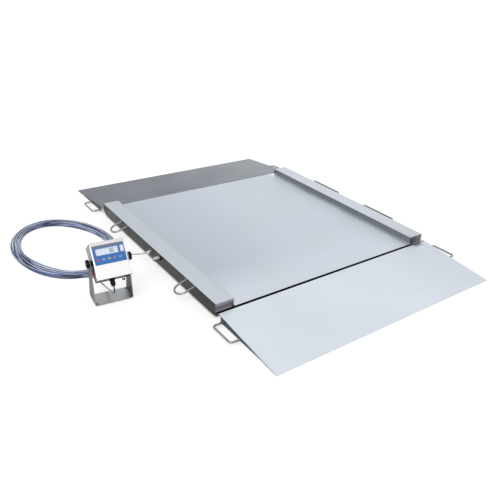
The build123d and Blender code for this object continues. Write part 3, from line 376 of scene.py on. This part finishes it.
def plug_plastic():
    """Plastic with painted light and shade: pale on faces that look up, dark on faces that look down."""
    surface = Surface("plug_plastic", roughness=0.4)
    above = surface.facing(surface.place("Normal"), UP, -0.1, 0.5)
    surface.colour(surface.mix(above, linear((46, 46, 48)), linear((205, 203, 200))))
    surface.bump(surface.noise(60, detail=3), 0.2, 0.0003)
    return surface.material


dress(plug_plastic(), "vent_plug")
foot_rubber = moulded("foot_rubber", (12, 12, 14), 0.6, Specular_IOR_Level=0.15)
dress(foot_rubber, "foot_pad_front_left", "foot_pad_front_right", "foot_pad_rear_left", "foot_pad_rear_right",
      "front_ramp_pads", "rear_ramp_pads")

# Indicator

# Half the width in which one tone turns to the next
SHARP = 0.0002

# Painted light and shade on the housing's faces, by the way each looks
HOUSING_FACE_SHADING = [
    (UP, (214, 209, 212)),
    (LEFTWARD, (124, 124, 128)),
    (RIGHTWARD, (150, 151, 152)),
    (DOWN, (112, 117, 110)),
    (REARWARD, (150, 152, 155)),
]
# Painted shade: the face greyer towards its top
housing_steel = steel("housing_steel", (246, 245, 244), "X", 0.3, HOUSING_FACE_SHADING, indicator=True,
                      streaks=0.015, shading_gradient=("Z", 0.170 - PIVOT_RISE, 0.192 - PIVOT_RISE, (228, 222, 228)))
dress(housing_steel, "rear_shell", "front_cover")
# Painted shade on the bracket's sides and painted light on its top
BRACKET_FACE_SHADING = [(LEFTWARD, (97, 99, 100)), (RIGHTWARD, (82, 84, 82)), (UP, (170, 172, 173))]
# Painted shade on the inner side of the bracket's right leg
RIGHT_LEG_SHADE = (LEFTWARD, (76, 78, 76), EDGE, {"X": (PIVOT.x + 0.087, PIVOT.x + 0.12)})
dress(steel("bracket_steel", (156, 158, 159), "Z", 0.42, BRACKET_FACE_SHADING, shading_strips=[RIGHT_LEG_SHADE]), "bracket")
dress(foot_rubber, "cover_gasket", "bracket_feet")
dress(steel("dark_screw", (70, 70, 72), "X", 0.35), "cover_screws")
black_plastic = moulded("black_plastic", (6, 6, 7), 0.42, Specular_IOR_Level=0.15)
dress(black_plastic, "indicator_gland", "left_knob", "right_knob", "spacer_bushes")


def connector():
    """Bright metal down to the screw cap, which is black."""
    surface = Surface("connector_metal", roughness=0.28)
    rise = surface.part(surface.in_indicator(), "Z")
    cap_edge = -PIVOT_RISE - 0.011
    metal = surface.remap(rise, cap_edge - SHARP, cap_edge + SHARP)
    scuffs = surface.noise(400)
    bright = surface.mix(scuffs, linear((176, 176, 174)), linear((204, 204, 202)))
    black = surface.mix(scuffs, linear((18, 18, 20)), linear((30, 30, 32)))
    surface.colour(surface.mix(metal, black, bright))
    surface.feed(surface.shader.inputs["Metallic"], metal)
    surface.bump(scuffs, 0.15, 0.0001)
    return surface.material


dress(connector(), "indicator_connector")


def key_film(name, colour):
    surface = Surface(name, roughness=0.35)
    lighter = [c * 1.15 for c in linear(colour)[:3]] + [1]
    surface.colour(surface.mix(surface.noise(240, detail=2), linear(colour), lighter))
    surface.bump(surface.noise(1500, detail=2), 0.15, 0.0001)
    return surface.material


STRIP_RISE = 0.168


def membrane():
    """Blue, with a bare grey strip along the top."""
    surface = Surface("membrane", roughness=0.32)
    rise = surface.part(surface.in_indicator(), "Z")
    blue = surface.speckle(220, (44, 104, 176), (50, 112, 186), detail=2)
    low = STRIP_RISE - PIVOT_RISE
    strip = surface.remap(rise, low - SHARP, low + SHARP)
    surface.colour(surface.mix(strip, blue, linear((112, 119, 138))))
    surface.bump(surface.noise(1400, detail=2), 0.12, 0.0001)
    return surface.material


dress(membrane(), "keypad_membrane")
dress(key_film("key_blue", (52, 112, 184)), "key_power", "key_zero", "key_tare", "key_print", "key_enter")


def window():
    surface = Surface("window_clear", roughness=0.06, IOR=1.46, Alpha=0.12)
    surface.colour(surface.speckle(300, (236, 244, 250), (244, 249, 253)))
    surface.bump(surface.noise(500), 0.04, 0.0001)
    return surface.material


def display():
    """The wide panel, and from 55 mm right of the middle the narrow one."""
    surface = Surface("display_panel", roughness=0.4)
    narrow = surface.remap(surface.part(surface.in_indicator(), "X"), 0.054, 0.056)
    wide_tone = surface.speckle(90, (205, 226, 236), (214, 222, 238))
    tone = surface.mix(narrow, wide_tone, linear((232, 226, 238)))
    surface.colour(tone)
    # Painted light: a faint glow lifts the panel out of its recess's shade
    surface.feed(surface.shader.inputs["Emission Color"], tone)
    surface.shader.inputs["Emission Strength"].default_value = 0.12
    surface.bump(surface.noise(900), 0.1, 0.0001)
    return surface.material


dress(window(), "display_windows")
dress(display(), "display_modules")

# Printed shapes on the display and the keys, and the seal over the housing's joint. Lengths in millimetres.

# Rise of the keys' middles, depth behind the face of the keys' fronts and of the glass
KEY_RISE = 104
KEY_FRONT = -2.2
GLASS_DEPTH = 2.2
# Thickness of ink and seal, and width of a display's segment
FILM = 0.15
SEGMENT = 3.2


def stroke(start, end, width):
    """Outline of a pen stroke with pointed ends."""
    start, end = Vector(start), Vector(end)
    along = (end - start).normalized() * width / 2
    aside = Vector((-along.y, along.x))
    return [
        start, start + along + aside, end - along + aside,
        end, end - along - aside, start + along - aside,
    ]


def arc(x, z, radius, width, first, last, steps=20):
    """Outlines that make up a part of a ring. Angles are in degrees."""
    outlines = []
    for step in range(steps):
        a, b = (math.radians(first + (last - first) * (step + i) / steps) for i in (0, 1))
        corners = ((radius, a), (radius, b), (radius + width, b), (radius + width, a))
        outlines.append([(x + r * math.cos(angle), z + r * math.sin(angle)) for r, angle in corners])
    return outlines


def closed_line(corners, width):
    return [stroke(a, b, width) for a, b in zip(corners, corners[1:] + corners[:1])]


def nought(left, low, width, height):
    """The six strokes of a nought on a segment display."""
    right, middle, top = left + width, low + height / 2, low + height
    corners = [(left, low), (right, low), (right, middle), (right, top), (left, top), (left, middle)]
    return closed_line(corners, SEGMENT)


def box_lines(left, right, low, high, width):
    return closed_line([(left, low), (right, low), (right, high), (left, high)], width)


def prism(made, near, far):
    """A closed solid between two outlines of the same number of corners."""
    near = [made.verts.new(p) for p in near]
    far = [made.verts.new(p) for p in far]
    made.faces.new(near)
    made.faces.new(list(reversed(far)))
    for index in range(len(near)):
        following = (index + 1) % len(near)
        made.faces.new((far[index], far[following], near[following], near[index]))


def finished(name, made, material, body):
    """An object from a mesh in the making, which rides on a body."""
    bmesh.ops.recalc_face_normals(made, faces=made.faces)
    mesh = bpy.data.meshes.new(name)
    made.to_mesh(mesh)
    made.free()
    mesh.materials.append(material)
    piece = add_object(name, mesh)
    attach(piece, body)
    return piece


def printed(name, outlines, depth, material, body):
    """Thin ink on a plane that lies at a depth behind the face."""
    made = bmesh.new()
    for outline in outlines:
        layers = [
            [in_housing(x * MILLIMETRE, level * MILLIMETRE, z * MILLIMETRE) for x, z in outline]
            for level in (depth - FILM, depth)
        ]
        prism(made, *layers)
    finished(name, made, material, body)


def ink(name, colour):
    return moulded(name, colour, 0.5, 1500, 0.1)


digits = nought(7, 136, 7.5, 18) + nought(18.5, 136, 7.5, 18) + box_lines(15.8, 17.2, 135.4, 136.8, 1.6)
printed("display_digits", digits, GLASS_DEPTH, ink("digit_ink", (16, 20, 28)), "indicator")

# Each key's place across, the icon's colour, and its outlines about the key's middle
KEY_ICONS = {
    "key_power": (-64, (214, 40, 58), arc(0, 0, 4.2, 2.6, 125, 415) + [stroke((0, 0), (0, 8), 3.0)]),
    "key_zero": (-35, (206, 226, 214), arc(0, 0, 1.2, 2.0, 0, 360) + [
        [(-3.6, 0), (-8, 3.6), (-8, -3.6)],
        [(3.6, 0), (8, -3.6), (8, 3.6)],
    ]),
    "key_tare": (-6, (228, 192, 108), [
        stroke((0, -6), (0, 6), 2.6),
        [(-2.4, 0), (-7.4, 3.8), (-7.4, -3.8)],
        [(2.4, 0), (7.4, -3.8), (7.4, 3.8)],
    ]),
    "key_print": (23, (186, 112, 134), box_lines(-5, 5, -6, 6, 2.2) + [
        stroke((-2.6, z), (2.6, z), 1.2) for z in (-1.8, 0.6, 2.8)
    ]),
    "key_enter": (52, (184, 206, 84), [
        stroke((5.5, 6.5), (5.5, -3), 2.6),
        stroke((6, -2), (-2, -2), 2.6),
        [(-1.6, -6.6), (-1.6, 2.6), (-7.6, -2)],
    ]),
}
for key, (x, colour, outlines) in KEY_ICONS.items():
    placed = [[(x + px, KEY_RISE + pz) for px, pz in outline] for outline in outlines]
    printed(key + "_icon", placed, KEY_FRONT, ink(key + "_ink", colour), key)


# The seal's lower and upper edge, and its way along the housing's side: across and depth
SEAL_LOW, SEAL_HIGH = 10, 52
SEAL_WAY = [(93.0, 4.0), (93.0, 13.8), (91.2, 15.8), (91.2, 34.0)]


def seal():
    """A bare red seal stuck over the joint between the housing's halves."""
    surface = Surface("seal_film", roughness=0.3)
    fibres = surface.noise(500, detail=4)
    surface.colour(surface.mix(fibres, linear((206, 30, 48)), linear((232, 62, 78))))
    surface.bump(fibres, 0.2, 0.0001)
    made = bmesh.new()
    for near, far in zip(SEAL_WAY, SEAL_WAY[1:]):
        corners = ((*near, SEAL_LOW), (*far, SEAL_LOW), (*far, SEAL_HIGH), (*near, SEAL_HIGH))
        layers = [
            [in_housing(-(x + out) * MILLIMETRE, d * MILLIMETRE, z * MILLIMETRE) for x, d, z in corners]
            for out in (FILM, 0)
        ]
        prism(made, *layers)
    finished("seal", made, surface.material, "indicator")


seal()

# Weld beads where the bar handles meet the walls

# Distance of the walls from the platform's middle
WALL = 0.815
BEAD_RADIUS = 0.007
BEAD_THICKNESS = 0.0026
RIPPLES, RIPPLE = 9, 0.0005
# Points round the leg and round the bead's section
AROUND, THROUGH = 36, 8
LEFT, RIGHT = -1, 1


def turn(step, steps):
    """The angle after a step, where the steps make one full turn."""
    return 2 * math.pi * step / steps


def weld_bead(name, side, y, z, body):
    """A rippled ring of weld round one leg of a handle."""
    made = bmesh.new()
    rings = []
    for step in range(AROUND):
        angle = turn(step, AROUND)
        thick = BEAD_THICKNESS + RIPPLE * math.sin(RIPPLES * angle)
        ring = []
        for corner in range(THROUGH):
            roll = turn(corner, THROUGH)
            radius = BEAD_RADIUS + thick * math.cos(roll)
            ring.append(made.verts.new((
                across(side * (WALL + thick * math.sin(roll))),
                y + radius * math.cos(angle),
                z + radius * math.sin(angle),
            )))
        rings.append(ring)
    for ring, following in zip(rings, rings[1:] + rings[:1]):
        for corner in range(THROUGH):
            beside = (corner + 1) % THROUGH
            made.faces.new((ring[corner], ring[beside], following[beside], following[corner]))
    bead = finished(name, made, weld_steel, body)
    bead.data.polygons.foreach_set("use_smooth", [True] * len(bead.data.polygons))


weld_steel = steel("weld_steel", (128, 128, 130), "X", 0.35, streaks=0.08)
# The legs' body, side, places along the wall and height
LEG_ROOTS = [
    ("platform", LEFT, (-0.515, -0.429, 0.342, 0.428), 0.077),
    ("platform", RIGHT, (-0.449, -0.163, 0.106, 0.392), 0.070),
    ("front_ramp", LEFT, (-0.962, -0.800), 0.017),
    ("front_ramp", RIGHT, (-0.962, -0.800), 0.017),
    ("rear_ramp", LEFT, (0.800, 0.962), 0.017),
    ("rear_ramp", RIGHT, (0.800, 0.962), 0.017),
]
for body, side, places, height in LEG_ROOTS:
    for number, along in enumerate(places):
        side_name = "left" if side == LEFT else "right"
        weld_bead("weld_%s_%s_%d" % (body, side_name, number), side, along, height, body)

# Cable: out of the beam gland, round the loose coil and up into the indicator's gland

# How far the cable runs straight out of each gland
BEAM_LEAD_OUT = 0.020
INDICATOR_LEAD_OUT = 0.014
# Rows: x and y from the gland's tip in millimetres, and the height as a share of the tip's height
BEAM_ROUTE = [
    (-38, 12, 0.9375), (-50, 34, 0.7857), (-57, 62, 0.5714), (-61, 96, 0.3393),
    (-63, 137, 0.1607), (-65, 186, 0.0982), (-69, 240, 0.125), (-79, 293, 0.2143),
]
INDICATOR_ROUTE = [
    (-1, -11.5, 0.79), (-3, -1, 0.655), (-1, 24, 0.575), (9.9, 66.9, 0.4913), (15.9, 115.9, 0.3249),
    (22.9, 164.9, 0.1823), (27.9, 213.9, 0.0792), (28.9, 262.9, 0.0436), (20.9, 307.9, 0.0555),
    (3.9, 347.9, 0.0792),
]

# The coil's outer and inner edge: half lengths of an ellipse, and its turn
COIL_CENTRE = Vector((across(-1.208), 0.404))
COIL_OUTER, OUTER_TURN = (0.306, 0.434), math.radians(3)
COIL_INNER, INNER_TURN = (0.234, 0.344), math.radians(12)
# Points in each turn, and the degrees at which the turns start and end
COIL_STEPS = 24
COIL_START, COIL_END = 345, 269 + 360 * 10
# Share of the way from the inner to the outer edge, one number each 60 degrees along the turns
LAY_DEGREES = 60
COIL_LAY = [
    0.82, 0.85, 0.74, 0.85, 0.85, 0.74,
    0.64, 0.54, 0.64, 0.64, 0.54, 0.64,
    0.44, 0.44, 0.44, 0.54, 0.44, 0.34,
    0.23, 0.34, 0.23, 0.23, 0.34, 0.23,
    0.13, 0.03, 0.13, 0.03, 0.13, 0.13,
    0.03, 0.13, 0.03, 0.13, 0.03, 0.03,
    0.34, 0.23, 0.34, 0.34, 0.23, 0.44,
    0.54, 0.64, 0.54, 0.44, 0.64, 0.54,
    0.74, 0.74, 0.85, 0.74, 0.74, 0.85,
    0.95, 0.95, 0.95, 0.95, 0.74, 0.84,
]


def edge_point(half, leaning, angle):
    """The place at an angle on an ellipse that leans by another angle."""
    point = Vector((half[0] * math.cos(angle - leaning), half[1] * math.sin(angle - leaning)))
    return COIL_CENTRE + Matrix.Rotation(leaning, 2) @ point


def lay_at(degrees):
    """The share of the way out at a place along the turns, eased between the listed ones."""
    place = (degrees - COIL_START) / LAY_DEGREES
    index = min(int(place), len(COIL_LAY) - 2)
    ease = (1 - math.cos(math.pi * (place - index))) / 2
    return COIL_LAY[index] * (1 - ease) + COIL_LAY[index + 1] * ease


# Room between the cable and the floor, and the corners of the cable's section
FLOOR_GAP = 0.0003
CABLE_SIDES = 12


def coil_points():
    """The loose turns. Each rests on the floor, or on the earlier turns that it crosses."""
    step = 360 / COIL_STEPS
    count = int((COIL_END - COIL_START) / step) + 1
    flat = []
    for index in range(count):
        degrees = COIL_START + index * step
        angle = math.radians(degrees)
        inner = edge_point(COIL_INNER, INNER_TURN, angle)
        outer = edge_point(COIL_OUTER, OUTER_TURN, angle)
        flat.append(inner.lerp(outer, lay_at(degrees)))
    rest = CABLE / 2 + FLOOR_GAP
    touching = CABLE * 1.02
    heights = []
    for index, point in enumerate(flat):
        height = rest
        for earlier in range(index % COIL_STEPS, index - COIL_STEPS + 1, COIL_STEPS):
            apart = (flat[earlier] - point).length
            if apart < touching:
                height = max(height, heights[earlier] + math.sqrt(touching ** 2 - apart ** 2))
        heights.append(height)
    heights = [max(heights[max(0, i - 1):i + 2]) for i in range(count)]
    return [(p.x, p.y, h) for p, h in zip(flat, heights)]


def route_points(tip, axis, lead_out, rows):
    """The cable's points from a gland's tip: straight out of it, then along the rows."""
    points = [tip, tip + axis * lead_out]
    for x, y, share in rows:
        points.append(Vector((tip.x + x * MILLIMETRE, tip.y + y * MILLIMETRE, tip.z * share)))
    return points


out_of_beam = route_points(BEAM_GLAND_TIP, Vector(LEFTWARD), BEAM_LEAD_OUT, BEAM_ROUTE)
gland_axis = (INDICATOR.to_3x3() @ Vector(DOWN)).normalized()
into_indicator = route_points(INDICATOR_GLAND_TIP, gland_axis, INDICATOR_LEAD_OUT, INDICATOR_ROUTE)


def spline_line(points):
    """Points along the smooth line that has the given points as its control points."""
    curve = bpy.data.curves.new("route", "CURVE")
    curve.dimensions = "3D"
    curve.resolution_u = 7
    spline = curve.splines.new("NURBS")
    spline.points.add(len(points) - 1)
    for made, point in zip(spline.points, points):
        made.co = (*point, 1)
    spline.order_u = 3
    spline.use_endpoint_u = True
    carrier = bpy.data.objects.new("route", curve)
    mesh = bpy.data.meshes.new_from_object(carrier)
    line = [v.co.copy() for v in mesh.vertices]
    bpy.data.objects.remove(carrier)
    bpy.data.curves.remove(curve)
    bpy.data.meshes.remove(mesh)
    return line


def tube(name, line, radius, sides):
    """A round tube along a line, its rings carried along without twist."""
    made = bmesh.new()
    upper = Vector(UP)
    last = None
    for index, point in enumerate(line):
        ahead = line[min(index + 1, len(line) - 1)] - line[max(index - 1, 0)]
        ahead.normalize()
        upper = (upper - ahead * upper.dot(ahead)).normalized()
        third = ahead.cross(upper)
        ring = []
        for side in range(sides):
            angle = turn(side, sides)
            out = math.cos(angle) * upper + math.sin(angle) * third
            ring.append(made.verts.new(point + radius * out))
        if last:
            for side in range(sides):
                following = (side + 1) % sides
                made.faces.new((last[side], last[following], ring[following], ring[side]))
        else:
            made.faces.new(list(reversed(ring)))
        last = ring
    made.faces.new(last)
    mesh = bpy.data.meshes.new(name)
    made.to_mesh(mesh)
    made.free()
    mesh.polygons.foreach_set("use_smooth", [True] * len(mesh.polygons))
    return add_object(name, mesh)


# Painted light and dark bands that lie side by side from the coil's middle to its outer edge
SHADING_BANDS = 28


def cable_jacket():
    """Painted light and shade on a cable of one colour: painted highlights on faces that look up and painted
    shade on the sides, in light and dark bands that change from turn to turn, with painted highlights at the
    far and the near rim and painted light by the beam. In the coil's frame its outer edge is a circle of
    radius 1."""
    surface = Surface("cable_jacket", roughness=0.22, Coat_Weight=0.5, Coat_Roughness=0.08)
    normals = surface.place("Normal")
    cloud = surface.noise(9, detail=4)
    out_from = {"Vector": surface.place(), "Location": (*COIL_CENTRE, 0), "Scale": (*COIL_OUTER, 1)}
    out_place = surface.node("ShaderNodeMapping", out_from, vector_type="TEXTURE").outputs[0]
    reach = surface.node("ShaderNodeVectorMath", {0: out_place}, operation="LENGTH").outputs["Value"]
    along = surface.part(out_place, "Y")
    # Painted highlights at the far and the near rim
    far_rim_highlight = surface.maths("MULTIPLY", surface.remap(reach, 0.84, 0.96), surface.remap(along, 0.2, 0.7))
    near_rim_highlight = surface.maths("MULTIPLY", surface.remap(reach, 0.84, 0.78), surface.remap(along, -0.2, -0.6))
    pale = surface.maths("MAXIMUM", far_rim_highlight, near_rim_highlight)
    ringed = {0: surface.maths("MULTIPLY", reach, SHADING_BANDS), 1: surface.part(out_place, "X"), 2: along}
    ringed = surface.node("ShaderNodeCombineXYZ", ringed).outputs[0]
    # Painted light and dark bands, one tone to each ring
    turns = surface.remap(surface.noise(1, detail=1, source=ringed), 0.46, 0.54)
    side = surface.mix(turns, linear((8, 17, 62)), linear((86, 110, 170)))
    side = surface.mix(pale, side, linear((140, 154, 184)))
    top = surface.mix(turns, linear((46, 70, 136)), linear((240, 249, 255)))
    top = surface.mix(pale, top, linear((236, 242, 249)))
    # Painted highlight on faces that look up, painted shade on the sides
    tone = surface.mix(surface.facing(normals, (-0.1, 0.35, 1), 0.72, 0.98), side, top)
    place_x = surface.part(surface.place(), "X")
    # Painted light on the cable by the beam
    beam_side_light = surface.remap(place_x, BEAM_GLAND_TIP.x - 0.09, BEAM_GLAND_TIP.x - 0.05)
    tone = surface.mix(beam_side_light, tone, linear((176, 184, 190)))
    surface.colour(tone)
    surface.roughness(surface.remap(cloud, 0.3, 0.7, 0.18, 0.34))
    surface.bump(surface.noise(700, detail=2), 0.08, 0.0002)
    return surface.material


cable_line = spline_line(out_of_beam + coil_points()[1:-1] + into_indicator[::-1])
cable = tube("cable", cable_line, CABLE / 2, CABLE_SIDES)
cable.data.materials.append(cable_jacket())
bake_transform(cable)
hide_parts("cable_to_indicator", "cable_coil", "cable_to_beam")

# Floor, world and lamp

FLOOR_HALF = 30
FLOOR_DEPTH = 0.0004
FLOOR_GLOW = 0.62
# The room's light on surfaces, as a share of how bright it is seen
ROOM_LIGHT = 0.78


def floor_shade(surface):
    """How far the floor gets the platform's painted shadow: below it, beside the right beam and by its front
    corner.
    """
    place = surface.place()
    left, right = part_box("left_beam_cover")[0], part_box("right_beam_cover")[1]

    def covered(low, high, soft, share=1):
        inside = share
        for axis, first, last in zip("XY", low, high):
            off = surface.maths("SUBTRACT", surface.part(place, axis), (first + last) / 2)
            half = (last - first) / 2
            near = surface.remap(surface.maths("ABSOLUTE", off), half - soft, half, 1, 0)
            inside = surface.maths("MULTIPLY", inside, near)
        return inside

    shades = [
        covered(left.xy, right.xy, 0.02),
        covered((right.x - 0.1, left.y - 0.05), (right.x + 0.11, right.y + 0.05), 0.06, 0.65),
        covered((right.x - 0.04, left.y), (right.x + 0.1, left.y + 0.085), 0.04, 0.85),
    ]
    darkest = surface.maths("MAXIMUM", shades[0], shades[1])
    return surface.maths("MAXIMUM", darkest, shades[2])


def make_floor():
    """A white floor that keeps the object's shadow and gives off light of its own where it is seen, with a
    painted shadow below the platform and by the right beam.
    """
    made = bmesh.new()
    corners = ((-1, -1), (1, -1), (1, 1), (-1, 1))
    made.faces.new([made.verts.new((FLOOR_HALF * x, FLOOR_HALF * y, -FLOOR_DEPTH)) for x, y in corners])
    mesh = bpy.data.meshes.new("floor")
    made.to_mesh(mesh)
    made.free()
    floor = add_object("floor", mesh)
    surface = Surface("floor", roughness=0.9)
    path = surface.node("ShaderNodeLightPath").outputs
    seen = surface.maths("MAXIMUM", path["Is Camera Ray"], path["Is Glossy Ray"])
    open_sky = surface.node("ShaderNodeAmbientOcclusion", {"Distance": 0.05}, samples=8).outputs["AO"]
    seen = surface.maths("MULTIPLY", seen, surface.remap(open_sky, 0.1, 0.5))
    # Painted shadow: where the floor is shaded it turns dark and gives off no light
    shade = floor_shade(surface)
    shaded = surface.maths("MULTIPLY", seen, shade)
    seen = surface.maths("MULTIPLY", seen, surface.maths("SUBTRACT", 1, shade))
    plain = surface.speckle(3, (243, 243, 243), (246, 246, 246))
    lit = surface.mix(seen, plain, linear((180, 180, 180)))
    surface.colour(surface.mix(shaded, lit, linear((26, 27, 30))))
    surface.shader.inputs["Emission Color"].default_value = (1, 1, 1, 1)
    surface.feed(surface.shader.inputs["Emission Strength"], surface.maths("MULTIPLY", seen, FLOOR_GLOW))
    mesh.materials.append(surface.material)


def make_world():
    """A white room, a little darker as a light than where it is seen."""
    world = bpy.data.worlds.new("studio")
    bpy.context.scene.world = world
    world.use_nodes = True
    tree = world.node_tree
    background = tree.nodes["Background"]
    background.inputs["Color"].default_value = (1, 1, 1, 1)
    path = tree.nodes.new("ShaderNodeLightPath")
    shown = path.outputs["Is Camera Ray"]
    for ray in ("Is Glossy Ray", "Is Transmission Ray"):
        joined = tree.nodes.new("ShaderNodeMath")
        joined.operation = "MAXIMUM"
        tree.links.new(shown, joined.inputs[0])
        tree.links.new(path.outputs[ray], joined.inputs[1])
        shown = joined.outputs[0]
    strength = tree.nodes.new("ShaderNodeMapRange")
    strength.inputs["To Min"].default_value = ROOM_LIGHT
    strength.inputs["To Max"].default_value = 1.0
    tree.links.new(shown, strength.inputs["Value"])
    tree.links.new(strength.outputs["Result"], background.inputs["Strength"])


def make_sun():
    lamp = bpy.data.lights.new("sun", "SUN")
    lamp.energy = 0.8
    lamp.angle = math.radians(30)
    sun = bpy.data.objects.new("sun", lamp)
    sun.rotation_euler = Vector((0.55, 0.3, -0.78)).to_track_quat("-Z", "Y").to_euler()
    bpy.context.scene.collection.objects.link(sun)


make_floor()
make_world()
make_sun()
bpy.context.scene.view_settings.view_transform = "Standard"
